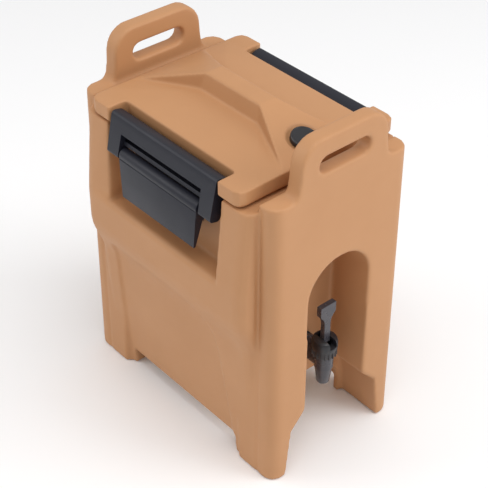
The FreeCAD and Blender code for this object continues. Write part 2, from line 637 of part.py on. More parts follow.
# ---------------------------------------------------------------- faucet
def hex_nut(y0, y1, across, bore):
    """Six-sided nut on the shank axis."""
    r = across / math.sqrt(3)
    angles = [math.pi * i / 3 for i in range(6)]
    outline = [(r * math.cos(a), shank_z + r * math.sin(a)) for a in angles]
    return prism_y(outline, y0, y1).cut(rod_y(0, shank_z, bore, y0 - 1, y1 + 1))


def make_faucet():
    """Faucet body with shank and spout, its seals and nut, bonnet, lever, valve and spring."""
    shank_end = tank_front + SHANK_INSIDE
    mouth = shank_z - SPOUT_DROP
    barrel_top = shank_z + BARREL_HEIGHT
    seat = shank_z - SEAT_BELOW_AXIS
    collar_y = alcove_y - WASHER_THICK
    shape = rod_y(0, shank_z, SHANK_RADIUS, faucet_y, shank_end)
    shape = shape.fuse(hex_nut(collar_y - COLLAR_THICK, collar_y, NUT_ACROSS - 4, 1.0))
    shape = shape.fuse(rod_y(0, shank_z, 2, collar_y - COLLAR_THICK, collar_y))
    shape = shape.fuse(rod_z_axis(0, faucet_y, FAUCET_BARREL_RADIUS, seat - 6, barrel_top))
    drop = seat - mouth
    shape = shape.fuse(Part.makeCone(SPOUT_MOUTH_RADIUS, SPOUT_TOP_RADIUS, drop, V(0, faucet_y, mouth)))
    shape = shape.cut(rod_z_axis(0, faucet_y, FAUCET_BORE, seat, barrel_top + 1))
    shape = shape.cut(Part.makeCone(SPOUT_MOUTH_RADIUS - SPOUT_WALL, SPOUT_MOUTH_RADIUS - SPOUT_WALL + 0.8,
                                    drop + 1, V(0, faucet_y, mouth - 0.5)))
    nodes["faucet_body"] = shape.cut(rod_y(0, shank_z, SHANK_BORE, faucet_y, shank_end + 1)).removeSplitter()
    washer = rod_y(0, shank_z, WASHER_RADIUS, collar_y, alcove_y)
    nodes["faucet_outer_washer"] = washer.cut(rod_y(0, shank_z, SHANK_RADIUS, collar_y - 1, alcove_y + 1))
    nut_y = tank_front + WASHER_INNER_THICK
    inner = rod_y(0, shank_z, WASHER_RADIUS - 2, tank_front, nut_y)
    nodes["faucet_inner_washer"] = inner.cut(rod_y(0, shank_z, SHANK_RADIUS, tank_front - 1, nut_y + 1))
    nodes["faucet_nut"] = hex_nut(nut_y, nut_y + NUT_THICK, NUT_ACROSS - 6, SHANK_RADIUS)
    bonnet = rod_z_axis(0, faucet_y, BONNET_RADIUS, bonnet_base, bonnet_top)
    bonnet = round_edges(bonnet, 3.0, lambda e: len(e.Vertexes) == 1 and e.BoundBox.ZMin > bonnet_top - 0.1)
    bonnet = bonnet.cut(rod_z_axis(0, faucet_y, FAUCET_BARREL_RADIUS, bonnet_base - 1, barrel_top))
    bonnet = bonnet.cut(rod_z_axis(0, faucet_y, FAUCET_BORE - 1, barrel_top - 1, bonnet_top - BONNET_WALL))
    slot_front, slot_back = faucet_y - BONNET_RADIUS - 1, faucet_y + FAUCET_BARREL_RADIUS
    bonnet = bonnet.cut(block(-BONNET_SLOT_HALF, BONNET_SLOT_HALF, slot_front, slot_back,
                              tap_pin_z - BONNET_SLOT_DROP, bonnet_top + 1))
    pin = rod_x(faucet_y, tap_pin_z, LEVER_PIN_RADIUS, -BONNET_RADIUS + 1, BONNET_RADIUS - 1)
    nodes["faucet_bonnet"] = bonnet.cut(pin)
    nodes["faucet_lever_pin"] = pin
    top = bonnet_top + TAP_LEVER_RISE
    lever = rod_x(faucet_y, tap_pin_z, TAP_EYE_RADIUS, -TAP_LEVER_HALF, TAP_LEVER_HALF)
    lever = lever.fuse(block(-TAP_LEVER_HALF, TAP_LEVER_HALF, faucet_y - 3.4, faucet_y + 3.4, tap_pin_z,
                             top - PADDLE_HEIGHT))
    paddle_low = top - PADDLE_HEIGHT
    neck = paddle_low - PADDLE_HALF_WIDTH / 2
    w, half_thick = PADDLE_HALF_WIDTH, PADDLE_THICK / 2
    half_neck = TAP_LEVER_HALF
    paddle = [(-half_neck, neck), (half_neck, neck), (w, paddle_low), (w, top), (-w, top), (-w, paddle_low)]
    lever = lever.fuse(prism_y(paddle, faucet_y - half_thick, faucet_y + half_thick))
    pivot = rod_x(faucet_y, tap_pin_z, LEVER_PIN_RADIUS + RUN_CLEARANCE, -BONNET_RADIUS, BONNET_RADIUS)
    nodes["faucet_lever"] = lever.cut(pivot).removeSplitter()
    stem_top = tap_pin_z - TAP_EYE_RADIUS - MOVE_GAP - TAP_STEM_GAP
    cup_low = seat + RUN_CLEARANCE
    cup = rod_z_axis(0, faucet_y, CUP_RADIUS, cup_low, cup_low + CUP_HEIGHT)
    stem = rod_z_axis(0, faucet_y, STEM_RADIUS, cup_low + 2, stem_top)
    nodes["valve_stem"] = stem
    nodes["valve_seat_cup"] = cup.cut(stem)
    rise = stem_top - 1 - (cup_low + CUP_HEIGHT) - 2 * SPRING_WIRE
    coil = Part.makeHelix(rise / SPRING_TURNS, rise, SPRING_RADIUS)
    angles = [2 * math.pi * i / SPRING_SIDES for i in range(SPRING_SIDES)]
    flats = [V(SPRING_RADIUS + SPRING_WIRE * math.cos(a), 0, SPRING_WIRE * math.sin(a)) for a in angles]
    section = Part.makePolygon(flats + flats[:1])
    spring = Part.Wire(coil).makePipeShell([section], True, True)
    spring.translate(V(0, faucet_y, cup_low + CUP_HEIGHT + SPRING_WIRE + RUN_CLEARANCE))
    nodes["valve_spring"] = spring


make_body()
make_lid()
make_latches()
make_faucet()
os.makedirs("parts", exist_ok=True)
for name, shape in nodes.items():
    solids = shape.Solids
    sound = shape.isValid() and solids and all(s.isClosed() for s in solids)
    box = shape.BoundBox
    print("%-22s solids %d volume %.1f cm3 z %.1f..%.1f %s" % (
        name, len(solids), shape.Volume / 1000, box.ZMin, box.ZMax, "" if sound else "CHECK"))
    result = solids[0] if len(solids) == 1 else Part.makeCompound(solids)
    result.exportStep("parts/" + name + ".step")
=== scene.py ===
"""Insulated beverage dispenser: its body, lid, latches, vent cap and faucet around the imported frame."""

import json
import logging
import math
from dataclasses import dataclass
from enum import Enum
from typing import Any, Callable, Sequence

import bpy
from mathutils import Matrix, Vector

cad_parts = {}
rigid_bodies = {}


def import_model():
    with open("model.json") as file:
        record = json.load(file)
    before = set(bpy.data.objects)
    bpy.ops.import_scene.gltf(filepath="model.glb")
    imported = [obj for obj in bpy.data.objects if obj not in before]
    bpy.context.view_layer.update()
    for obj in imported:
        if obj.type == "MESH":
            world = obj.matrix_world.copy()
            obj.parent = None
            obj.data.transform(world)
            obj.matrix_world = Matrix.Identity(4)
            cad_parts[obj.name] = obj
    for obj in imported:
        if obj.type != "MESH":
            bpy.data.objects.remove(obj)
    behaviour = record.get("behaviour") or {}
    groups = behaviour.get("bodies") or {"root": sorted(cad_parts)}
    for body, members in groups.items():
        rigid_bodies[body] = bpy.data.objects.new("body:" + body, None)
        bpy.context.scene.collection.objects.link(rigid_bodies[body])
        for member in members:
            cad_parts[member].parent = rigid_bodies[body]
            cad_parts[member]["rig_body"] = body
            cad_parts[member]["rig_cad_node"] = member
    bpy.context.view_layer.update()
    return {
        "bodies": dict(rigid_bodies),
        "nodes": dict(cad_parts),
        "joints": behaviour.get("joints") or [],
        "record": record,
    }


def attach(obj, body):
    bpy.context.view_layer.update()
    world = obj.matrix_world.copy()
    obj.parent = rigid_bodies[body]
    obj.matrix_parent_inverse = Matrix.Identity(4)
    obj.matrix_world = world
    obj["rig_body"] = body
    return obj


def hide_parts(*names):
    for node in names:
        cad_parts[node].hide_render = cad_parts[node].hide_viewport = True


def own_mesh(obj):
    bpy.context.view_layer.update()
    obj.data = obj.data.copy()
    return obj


MM = 0.001
ALONG_X = Matrix.Rotation(math.pi / 2, 4, "Y")
ALONG_Y = Matrix.Rotation(math.pi / 2, 4, "X")
DUST_COLOUR = (0.62, 0.58, 0.52)
log = logging.getLogger("dispenser")

Point = Sequence[float]
Colour = tuple[float, float, float]


class Pick(Enum):
    """Kind of mesh element that an edit works on."""

    CORNER = (True, False, False)
    EDGE = (False, True, False)
    FACE = (False, False, True)


class Cut(Enum):
    """How a second solid changes the first one."""

    ADD = "UNION"
    TAKE = "DIFFERENCE"
    SHARED = "INTERSECT"


class Side(Enum):
    """Which side of the dispenser a piece sits on."""

    LEFT = -1
    RIGHT = 1


# ---------------------------------------------------------------- modelling steps
class Bench:
    """Modelling steps that every sub-assembly uses. Sizes are in millimetres."""

    @staticmethod
    def clear() -> None:
        """Leave edit mode and deselect everything."""
        active = bpy.context.view_layer.objects.active
        if active is not None and active.mode != "OBJECT":
            bpy.ops.object.mode_set(mode="OBJECT")
        bpy.ops.object.select_all(action="DESELECT")

    @staticmethod
    def take(piece: bpy.types.Object) -> None:
        """Make one piece the only selected and active object."""
        Bench.clear()
        piece.select_set(True)
        bpy.context.view_layer.objects.active = piece

    @staticmethod
    def cube(name: str, low: Point, high: Point) -> bpy.types.Object:
        """Start a piece from a box between two corners.

        Args:
            name: Piece name.
            low: Lowest corner.
            high: Highest corner.

        Returns:
            The new object, with its place in its mesh.
        """
        Bench.clear()
        middle = [(a + b) / 2 * MM for a, b in zip(low, high)]
        size = [(b - a) * MM for a, b in zip(low, high)]
        bpy.ops.mesh.primitive_cube_add(size=1.0, location=middle, scale=size)
        return Bench.settle(name)

    @staticmethod
    def settle(name: str) -> bpy.types.Object:
        """Name the active object and move its place into its mesh.

        Args:
            name: Piece name.

        Returns:
            The settled object.
        """
        piece = bpy.context.view_layer.objects.active
        piece.name = name
        piece.data.name = name
        bpy.ops.object.transform_apply(location=True, rotation=True, scale=True)
        return piece

    @staticmethod
    def round_bar(name: str, radius: float, low: float, high: float, corners: int = 48) -> bpy.types.Object:
        """Start a piece from an upright round bar on the Z axis.

        Args:
            name: Piece name.
            radius: Bar radius.
            low: Bottom height.
            high: Top height.
            corners: Corners round the bar.

        Returns:
            The new object.
        """
        Bench.clear()
        bpy.ops.mesh.primitive_cylinder_add(vertices=corners, radius=radius * MM, depth=(high - low) * MM,
                                            location=(0, 0, (low + high) / 2 * MM))
        return Bench.settle(name)

    @staticmethod
    def cross_bar(name: str, radius: float, half: float, turn: Matrix, at: Point,
                  corners: int) -> bpy.types.Object:
        """Start a piece from a round bar that lies across a place.

        Args:
            name: Piece name.
            radius: Bar radius.
            half: Half its length.
            turn: Rotation that lays it down.
            at: Its middle.
            corners: Corners round the bar.

        Returns:
            The new object.
        """
        return Bench.place(Bench.round_bar(name, radius, -half, half, corners), turn, at)

    @staticmethod
    def pick(piece: bpy.types.Object, kind: Pick, test: Callable[..., bool]) -> None:
        """Enter edit mode with only the wanted elements selected.

        Args:
            piece: Piece to edit.
            kind: Corners, edges or faces.
            test: Gets a corner's place, an edge's two ends, or a face's middle and normal, in millimetres.
        """
        Bench.take(piece)
        mesh = piece.data
        for group in (mesh.vertices, mesh.edges, mesh.polygons):
            group.foreach_set("select", [False] * len(group))
        if kind is Pick.CORNER:
            for corner in mesh.vertices:
                corner.select = bool(test(corner.co / MM))
        elif kind is Pick.EDGE:
            places = [v.co / MM for v in mesh.vertices]
            for edge in mesh.edges:
                edge.select = bool(test(places[edge.vertices[0]], places[edge.vertices[1]]))
        else:
            for face in mesh.polygons:
                face.select = bool(test(face.center / MM, face.normal))
        bpy.context.tool_settings.mesh_select_mode = kind.value
        bpy.ops.object.mode_set(mode="EDIT")

    @staticmethod
    def done() -> None:
        """Go back to object mode."""
        bpy.ops.object.mode_set(mode="OBJECT")

    @staticmethod
    def bevel(piece: bpy.types.Object, test: Callable[..., bool], width: float, segments: int) -> None:
        """Round the edges that pass a test.

        Args:
            piece: Piece to edit.
            test: Gets an edge's two ends.
            width: Width of the round.
            segments: Flats in the round.
        """
        Bench.pick(piece, Pick.EDGE, test)
        bpy.ops.mesh.bevel(offset=width * MM, offset_type="OFFSET", segments=segments, affect="EDGES")
        Bench.done()

    @staticmethod
    def shift(piece: bpy.types.Object, test: Callable[..., bool], move: Point) -> None:
        """Move the corners that pass a test.

        Args:
            piece: Piece to edit.
            test: Gets a corner's place.
            move: Distance along each axis.
        """
        Bench.pick(piece, Pick.CORNER, test)
        bpy.ops.transform.translate(value=[m * MM for m in move])
        Bench.done()

    @staticmethod
    def spread(piece: bpy.types.Object, test: Callable[..., bool], scale: Point, about: Point) -> None:
        """Scale the corners that pass a test about a point.

        Args:
            piece: Piece to edit.
            test: Gets a corner's place.
            scale: Factor along each axis.
            about: Fixed point.
        """
        Bench.pick(piece, Pick.CORNER, test)
        bpy.ops.transform.resize(value=scale, center_override=[a * MM for a in about])
        Bench.done()

    @staticmethod
    def tower(name: str, rows: Sequence[Point]) -> bpy.types.Object:
        """Straight-walled block that changes size from level to level.

        Args:
            name: Piece name.
            rows: Levels from the bottom up, each (height, half width, low y, high y).

        Returns:
            The new object.
        """
        z0, half, y0, y1 = rows[0]
        piece = Bench.cube(name, (-half, y0, z0), (half, y1, rows[1][0]))
        for index, (z, wide, front, back) in enumerate(rows[1:]):
            last = rows[index]
            top = last[0] if index else z
            Bench.pick(piece, Pick.FACE, lambda c, n: n.z > 0.9 and abs(c.z - top) < 0.01)
            if index:
                bpy.ops.mesh.extrude_region_move(TRANSFORM_OT_translate={"value": (0, 0, (z - last[0]) * MM)})
            middle = (last[2] + last[3]) / 2
            bpy.ops.transform.resize(value=(wide / last[1], (back - front) / (last[3] - last[2]), 1),
                                     center_override=(0, middle * MM, z * MM))
            bpy.ops.transform.translate(value=(0, ((front + back) / 2 - middle) * MM, 0))
            Bench.done()
        return piece

    @staticmethod
    def turned(name: str, rows: Sequence[Point], corners: int = 48) -> bpy.types.Object:
        """Round piece on the Z axis whose radius changes from level to level.

        Args:
            name: Piece name.
            rows: Levels from the bottom up, each (height, radius).
            corners: Corners round the piece.

        Returns:
            The new object.
        """
        piece = Bench.round_bar(name, rows[0][1], rows[0][0], rows[1][0], corners)
        for index, (z, radius) in enumerate(rows[1:]):
            last_z, last_radius = rows[index]
            top = last_z if index else z
            Bench.pick(piece, Pick.FACE, lambda c, n: n.z > 0.9 and abs(c.z - top) < 0.01)
            if index:
                bpy.ops.mesh.extrude_region_move(TRANSFORM_OT_translate={"value": (0, 0, (z - last_z) * MM)})
            ratio = radius / last_radius
            bpy.ops.transform.resize(value=(ratio, ratio, 1), center_override=(0, 0, z * MM))
            Bench.done()
        return piece

    @staticmethod
    def place(piece: bpy.types.Object, turn: Matrix, at: Point = (0, 0, 0)) -> bpy.types.Object:
        """Turn a piece about the origin, move it, and put its place into its mesh.

        Args:
            piece: Piece to place.
            turn: Rotation.
            at: Where the piece's origin goes.

        Returns:
            The same piece.
        """
        Bench.take(piece)
        piece.matrix_world = Matrix.Translation([a * MM for a in at]) @ turn
        bpy.ops.object.transform_apply(location=True, rotation=True, scale=True)
        return piece

    @staticmethod
    def apply(piece: bpy.types.Object, kind: str, **settings: Any) -> None:
        """Add one modifier and apply it.

        Args:
            piece: Piece to change.
            kind: Modifier type.
            settings: The modifier's values.
        """
        Bench.take(piece)
        modifier = piece.modifiers.new(kind.lower(), kind)
        for key, value in settings.items():
            setattr(modifier, key, value)
        bpy.ops.object.modifier_apply(modifier=modifier.name)

    @staticmethod
    def join(piece: bpy.types.Object, tool: bpy.types.Object, how: Cut) -> None:
        """Add, take away or intersect a second solid, which is then removed.

        Args:
            piece: Piece to change.
            tool: Second solid.
            how: What to do with it.
        """
        Bench.apply(piece, "BOOLEAN", operation=how.value, solver="EXACT", object=tool)
        bpy.data.objects.remove(tool, do_unlink=True)

    @staticmethod
    def soften(piece: bpy.types.Object, voxel: float, rounds: int, triangles: int) -> None:
        """Turn a hard-edged solid into an even mesh with soft moulded edges.

        Args:
            piece: Piece to change.
            voxel: Size of the even grid.
            rounds: Smoothing rounds.
            triangles: Most triangles to keep.
        """
        Bench.apply(piece, "REMESH", mode="VOXEL", voxel_size=voxel * MM)
        Bench.apply(piece, "SMOOTH", factor=0.5, iterations=rounds)
        count = sum(len(face.vertices) - 2 for face in piece.data.polygons)
        if count > triangles:
            Bench.apply(piece, "DECIMATE", ratio=triangles / count)

    @staticmethod
    def ease(piece: bpy.types.Object, width: float, angle: float = 30.0, segments: int = 3) -> None:
        """Round every edge that is sharper than an angle.

        Args:
            piece: Piece to change.
            width: Width of the round.
            angle: Edges sharper than this many degrees are rounded.
            segments: Flats in the round.
        """
        Bench.apply(piece, "BEVEL", width=width * MM, segments=segments, limit_method="ANGLE",
                    angle_limit=math.radians(angle), use_clamp_overlap=True)

    @staticmethod
    def tidy(piece: bpy.types.Object, angle: float = 40.0) -> None:
        """Merge doubles, turn the faces outwards and shade smoothly up to an angle.

        Args:
            piece: Piece to change.
            angle: Edges sharper than this many degrees stay sharp.
        """
        Bench.pick(piece, Pick.CORNER, lambda c: True)
        bpy.ops.mesh.remove_doubles(threshold=0.005 * MM)
        bpy.ops.mesh.normals_make_consistent(inside=False)
        Bench.done()
        bpy.ops.object.shade_smooth_by_angle(angle=math.radians(angle))

    @staticmethod
    def copy(piece: bpy.types.Object, name: str) -> bpy.types.Object:
        """Copy a piece with its own mesh.

        Args:
            piece: Piece to copy.
            name: Name of the copy.

        Returns:
            The copy.
        """
        twin = piece.copy()
        twin.data = piece.data.copy()
        twin.name = name
        twin.data.name = name
        bpy.context.scene.collection.objects.link(twin)
        return twin

    @staticmethod
    def mirrored(piece: bpy.types.Object, name: str) -> bpy.types.Object:
        """Copy a piece to the other side of the centre plane.

        Args:
            piece: Piece to copy.
            name: Name of the copy.

        Returns:
            The mirrored copy, with its faces outwards.
        """
        twin = Bench.copy(piece, name)
        Bench.pick(twin, Pick.CORNER, lambda c: True)
        bpy.ops.transform.resize(value=(-1, 1, 1), center_override=(0, 0, 0))
        bpy.ops.mesh.normals_make_consistent(inside=False)
        Bench.done()
        return twin

    @staticmethod
    def solid_of(node: bpy.types.Object, name: str) -> bpy.types.Object:
        """Closed copy of a frame node, for use as a cutting solid.

        Args:
            node: Frame node, whose own mesh is left alone.
            name: Name of the copy.

        Returns:
            The merged copy, on no body.
        """
        twin = Bench.copy(node, name)
        twin.parent = None
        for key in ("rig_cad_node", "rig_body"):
            if key in twin:
                del twin[key]
        twin.data.materials.clear()
        Bench.pick(twin, Pick.CORNER, lambda c: True)
        bpy.ops.mesh.remove_doubles(threshold=0.002 * MM)
        bpy.ops.mesh.normals_make_consistent(inside=False)
        Bench.done()
        return twin


def near(value: float, target: float, slack: float = 0.05) -> bool:
    """True when two lengths in millimetres agree."""
    return abs(value - target) < slack


def standing(a: Vector, b: Vector) -> bool:
    """True for an edge that stands up instead of lying level."""
    return abs(a.z - b.z) > 1


def level(height: float) -> Callable[[Vector, Vector], bool]:
    """Test for the edges at one height that run from front to rear."""
    return lambda a, b: near(a.z, height) and near(b.z, height) and near(a.x, b.x)


def edge_at(x: float, z: float) -> Callable[[Vector, Vector], bool]:
    """Test for the one edge that runs from front to rear at a place."""
    return lambda a, b: level(z)(a, b) and near(a.x, x)


# ---------------------------------------------------------------- finishes
class NodeTree:
    """Short calls for adding and linking shader nodes."""

    def __init__(self, tree: bpy.types.NodeTree) -> None:
        """Keep the tree to build in."""
        self.tree = tree

    def add(self, kind: str, **settings: Any) -> bpy.types.Node:
        """Add a node.

        Args:
            kind: Node type.
            settings: The node's own values.

        Returns:
            The node.
        """
        node = self.tree.nodes.new(kind)
        for key, value in settings.items():
            setattr(node, key, value)
        return node

    def link(self, out: bpy.types.NodeSocket, into: bpy.types.NodeSocket) -> None:
        """Link two sockets."""
        self.tree.links.new(out, into)

    def feed(self, value: Any, into: bpy.types.NodeSocket) -> None:
        """Link a socket into another one, or set a plain value on it."""
        if isinstance(value, bpy.types.NodeSocket):
            self.link(value, into)
        else:
            into.default_value = value

    def group(self, tree: bpy.types.NodeTree, **values: float) -> bpy.types.Node:
        """Add a shader group with its own values.

        Args:
            tree: Group to place.
            values: Number for each of its inputs.

        Returns:
            The group's node.
        """
        node = self.add("ShaderNodeGroup", node_tree=tree)
        for key, value in values.items():
            node.inputs[key].default_value = value
        return node

    def maths(self, operation: str, first: Any, second: Any = 0.0,
              clamp: bool = False) -> bpy.types.NodeSocket:
        """Add a maths node.

        Args:
            operation: What it does.
            first: First number or socket.
            second: Second number or socket.
            clamp: Keep the answer between 0 and 1.

        Returns:
            Its output.
        """
        node = self.add("ShaderNodeMath", operation=operation, use_clamp=clamp)
        for index, value in enumerate((first, second)):
            self.feed(value, node.inputs[index])
        return node.outputs[0]

    def noise(self, place: bpy.types.NodeSocket, scale: Any, detail: float,
              rough: float = 0.55) -> bpy.types.NodeSocket:
        """Add a noise pattern.

        Args:
            place: Where to read it.
            scale: Number or socket, in patterns per metre.
            detail: Layers of finer noise.
            rough: Weight of the finer layers.

        Returns:
            Its value.
        """
        node = self.add("ShaderNodeTexNoise")
        self.link(place, node.inputs["Vector"])
        for key, value in (("Scale", scale), ("Detail", detail), ("Roughness", rough)):
            self.feed(value, node.inputs[key])
        return node.outputs[0]

    def blend(self, share: bpy.types.NodeSocket, first: Any, second: Any) -> bpy.types.NodeSocket:
        """Mix two colours.

        Args:
            share: How much of the second one.
            first: Colour or socket.
            second: Colour or socket.

        Returns:
            The mixed colour.
        """
        node = self.add("ShaderNodeMix", data_type="RGBA")
        self.link(share, node.inputs["Factor"])
        for key, value in ((6, first), (7, second)):
            self.feed(value if isinstance(value, bpy.types.NodeSocket) else (*value, 1.0), node.inputs[key])
        return node.outputs[2]


class SurfaceEffects:
    """Shader groups that more than one finish uses, each built once."""

    def __init__(self) -> None:
        """Build the groups."""
        self.grain = self._grain()
        self.wear = self._wear()
        self.dust = self._dust()

    @staticmethod
    def _group(name: str, inputs: Sequence[str], outputs: Sequence[str]) -> tuple[NodeTree, Any, Any]:
        """Start a shader group.

        Args:
            name: Group name.
            inputs: Names of its number inputs.
            outputs: Names of its number outputs.

        Returns:
            The tree, its input node and its output node.
        """
        tree = bpy.data.node_groups.new(name, "ShaderNodeTree")
        for title in inputs:
            tree.interface.new_socket(name=title, in_out="INPUT", socket_type="NodeSocketFloat")
        for title in outputs:
            tree.interface.new_socket(name=title, in_out="OUTPUT", socket_type="NodeSocketFloat")
        nodes = NodeTree(tree)
        return nodes, nodes.add("NodeGroupInput"), nodes.add("NodeGroupOutput")

    def _grain(self) -> bpy.types.NodeTree:
        """Build the moulded grain: fine height and broad cloudy mottle.

        Returns:
            The group.
        """
        nodes, inside, outside = self._group("moulded_grain", ("Fine", "Broad"), ("Height", "Mottle"))
        place = nodes.add("ShaderNodeTexCoord").outputs["Object"]
        fine = nodes.noise(place, inside.outputs["Fine"], 3.0)
        pits = nodes.add("ShaderNodeTexVoronoi", feature="SMOOTH_F1")
        nodes.link(place, pits.inputs["Vector"])
        nodes.link(inside.outputs["Fine"], pits.inputs["Scale"])
        nodes.link(nodes.maths("ADD", fine, nodes.maths("MULTIPLY", pits.outputs["Distance"], 0.5)),
                   outside.inputs["Height"])
        nodes.link(nodes.noise(place, inside.outputs["Broad"], 4.0, 0.6), outside.inputs["Mottle"])
        return nodes.tree

    def _wear(self) -> bpy.types.NodeTree:
        """Build the edge wear and painted edge highlight: a broken mask along the outer edges, which the
        finishes pale.

        Returns:
            The group.
        """
        nodes, inside, outside = self._group("edge_wear", ("Reach", "Amount", "Break"), ("Mask",))
        # rounded-edge mask: partly wear, partly painted highlight along the edges
        round_edge = nodes.add("ShaderNodeBevel", samples=4)
        nodes.link(inside.outputs["Reach"], round_edge.inputs["Radius"])
        shape = nodes.add("ShaderNodeNewGeometry")
        dot = nodes.add("ShaderNodeVectorMath", operation="DOT_PRODUCT")
        nodes.link(round_edge.outputs["Normal"], dot.inputs[0])
        nodes.link(shape.outputs["Normal"], dot.inputs[1])
        turn = nodes.maths("SUBTRACT", 1.0, dot.outputs["Value"], clamp=True)
        place = nodes.add("ShaderNodeTexCoord").outputs["Object"]
        broken = nodes.maths("SUBTRACT", nodes.noise(place, inside.outputs["Break"], 5.0, 0.7), 0.25)
        mask = nodes.maths("MULTIPLY", nodes.maths("MULTIPLY", turn, broken), inside.outputs["Amount"],
                           clamp=True)
        nodes.link(mask, outside.inputs["Mask"])
        return nodes.tree

    def _dust(self) -> bpy.types.NodeTree:
        """Build the dust: a thin patchy mask on what faces up.

        Returns:
            The group.
        """
        nodes, inside, outside = self._group("settled_dust", ("Amount", "Patch"), ("Mask",))
        shape = nodes.add("ShaderNodeNewGeometry")
        split = nodes.add("ShaderNodeSeparateXYZ")
        nodes.link(shape.outputs["Normal"], split.inputs[0])
        upward = nodes.maths("MULTIPLY", split.outputs["Z"], split.outputs["Z"], clamp=True)
        place = nodes.add("ShaderNodeTexCoord").outputs["Object"]
        patch = nodes.noise(place, inside.outputs["Patch"], 6.0, 0.65)
        nodes.link(nodes.maths("MULTIPLY", nodes.maths("MULTIPLY", upward, patch), inside.outputs["Amount"],
                               clamp=True), outside.inputs["Mask"])
        return nodes.tree


@dataclass(frozen=True)
class Finish:
    """Surface of one material: colours, gloss, grain, edge wear with painted edge highlight, and dust."""

    name: str
    colour: Colour
    shade: Colour
    # paler edge colour: partly worn plastic, partly painted highlight along the edges
    worn_and_highlight: Colour
    roughness: float
    rough_spread: float
    fine: float
    broad: float
    height: float
    wear: float
    wear_and_highlight_reach: float
    dust: float
    metallic: float = 0.0
    specular: float = 0.5

    def build(self, effects: SurfaceEffects) -> bpy.types.Material:
        """Make the material.

        Args:
            effects: Shared shader groups.

        Returns:
            The material.
        """
        material = bpy.data.materials.new(self.name)
        material.use_nodes = True
        nodes = NodeTree(material.node_tree)
        material.node_tree.nodes.clear()
        surface = nodes.add("ShaderNodeBsdfPrincipled")
        output = nodes.add("ShaderNodeOutputMaterial")
        nodes.link(surface.outputs[0], output.inputs["Surface"])
        grain = nodes.group(effects.grain, Fine=self.fine, Broad=self.broad)
        # edge mask: partly wear, partly painted highlight on the edges
        wear = nodes.group(effects.wear, Reach=self.wear_and_highlight_reach * MM, Amount=self.wear, Break=self.broad * 4)
        dust = nodes.group(effects.dust, Amount=self.dust, Patch=self.broad * 2)
        cloudy = nodes.maths("MULTIPLY_ADD", grain.outputs["Mottle"], 1.6, clamp=True)
        cloudy.node.inputs[2].default_value = -0.3
        plain = nodes.blend(cloudy, self.colour, self.shade)
        # pales the edges: partly wear, partly painted highlight
        rubbed_and_highlit = nodes.blend(wear.outputs["Mask"], plain, self.worn_and_highlight)
        dusty = nodes.blend(dust.outputs["Mask"], rubbed_and_highlit, DUST_COLOUR)
        nodes.link(dusty, surface.inputs["Base Color"])
        uneven = nodes.maths("SUBTRACT", grain.outputs["Mottle"], 0.5)
        spread = nodes.maths("MULTIPLY", uneven, self.rough_spread)
        rough = nodes.maths("ADD", nodes.maths("ADD", spread, self.roughness),
                            nodes.maths("MULTIPLY", wear.outputs["Mask"], -0.08), clamp=True)
        nodes.link(rough, surface.inputs["Roughness"])
        bump = nodes.add("ShaderNodeBump")
        bump.inputs["Strength"].default_value = 0.6
        bump.inputs["Distance"].default_value = self.height * MM
        nodes.link(grain.outputs["Height"], bump.inputs["Height"])
        nodes.link(bump.outputs["Normal"], surface.inputs["Normal"])
        surface.inputs["Metallic"].default_value = self.metallic
        surface.inputs["Specular IOR Level"].default_value = self.specular
        return material


class Surface(Enum):
    """Finish of each material slot of the dispenser."""

    # third colour of each finish is its paler edge colour: edge wear and painted edge highlight
    BODY = Finish("tan_moulded_polyethylene", (0.535, 0.272, 0.126), (0.490, 0.245, 0.111),
                  (0.70, 0.44, 0.26), 0.52, 0.14, 1500.0, 9.0, 0.10, 0.9, 2.5, 0.02, specular=0.35)
    LATCH = Finish("charcoal_moulded_nylon", (0.015, 0.016, 0.025), (0.011, 0.012, 0.020), (0.11, 0.11, 0.14),
                   0.42, 0.12, 2600.0, 30.0, 0.05, 0.8, 0.9, 0.01, specular=0.35)
    BLACK = Finish("black_moulded_plastic", (0.016, 0.016, 0.020), (0.012, 0.012, 0.015), (0.09, 0.09, 0.10),
                   0.38, 0.12, 2600.0, 40.0, 0.04, 0.7, 0.6, 0.02)
    FAUCET = Finish("smoke_grey_plastic", (0.060, 0.057, 0.068), (0.045, 0.043, 0.052), (0.16, 0.16, 0.18),
                    0.27, 0.10, 2400.0, 40.0, 0.03, 0.7, 0.6, 0.01)
    STEEL = Finish("drawn_stainless_steel", (0.62, 0.62, 0.63), (0.52, 0.52, 0.54), (0.75, 0.75, 0.75),
                   0.26, 0.16, 3000.0, 120.0, 0.02, 0.4, 0.3, 0.0, metallic=1.0)
    RUBBER = Finish("dark_seal_rubber", (0.030, 0.030, 0.031), (0.022, 0.022, 0.023), (0.08, 0.08, 0.08),
                    0.72, 0.12, 2200.0, 60.0, 0.05, 0.5, 0.4, 0.04)
    FOAM = Finish("cream_rigid_foam", (0.74, 0.64, 0.42), (0.66, 0.55, 0.34), (0.80, 0.72, 0.52),
                  0.85, 0.10, 700.0, 40.0, 0.40, 0.3, 1.0, 0.0)


class PaintShop:
    """Makes each finish once and puts it on pieces and frame nodes."""

    slots = {"body_plastic": Surface.BODY, "latch_plastic": Surface.LATCH, "black_plastic": Surface.BLACK,
             "faucet_plastic": Surface.FAUCET, "steel": Surface.STEEL, "rubber": Surface.RUBBER,
             "foam": Surface.FOAM}

    def __init__(self) -> None:
        """Build every material."""
        effects = SurfaceEffects()
        self.made = {slot: surface.value.build(effects) for slot, surface in self.slots.items()}

    def dress(self, piece: bpy.types.Object, slot: str) -> None:
        """Give a piece or frame node its finish.

        Args:
            piece: What to dress.
            slot: Material slot of the record.
        """
        piece.data.materials.clear()
        piece.data.materials.append(self.made[slot])


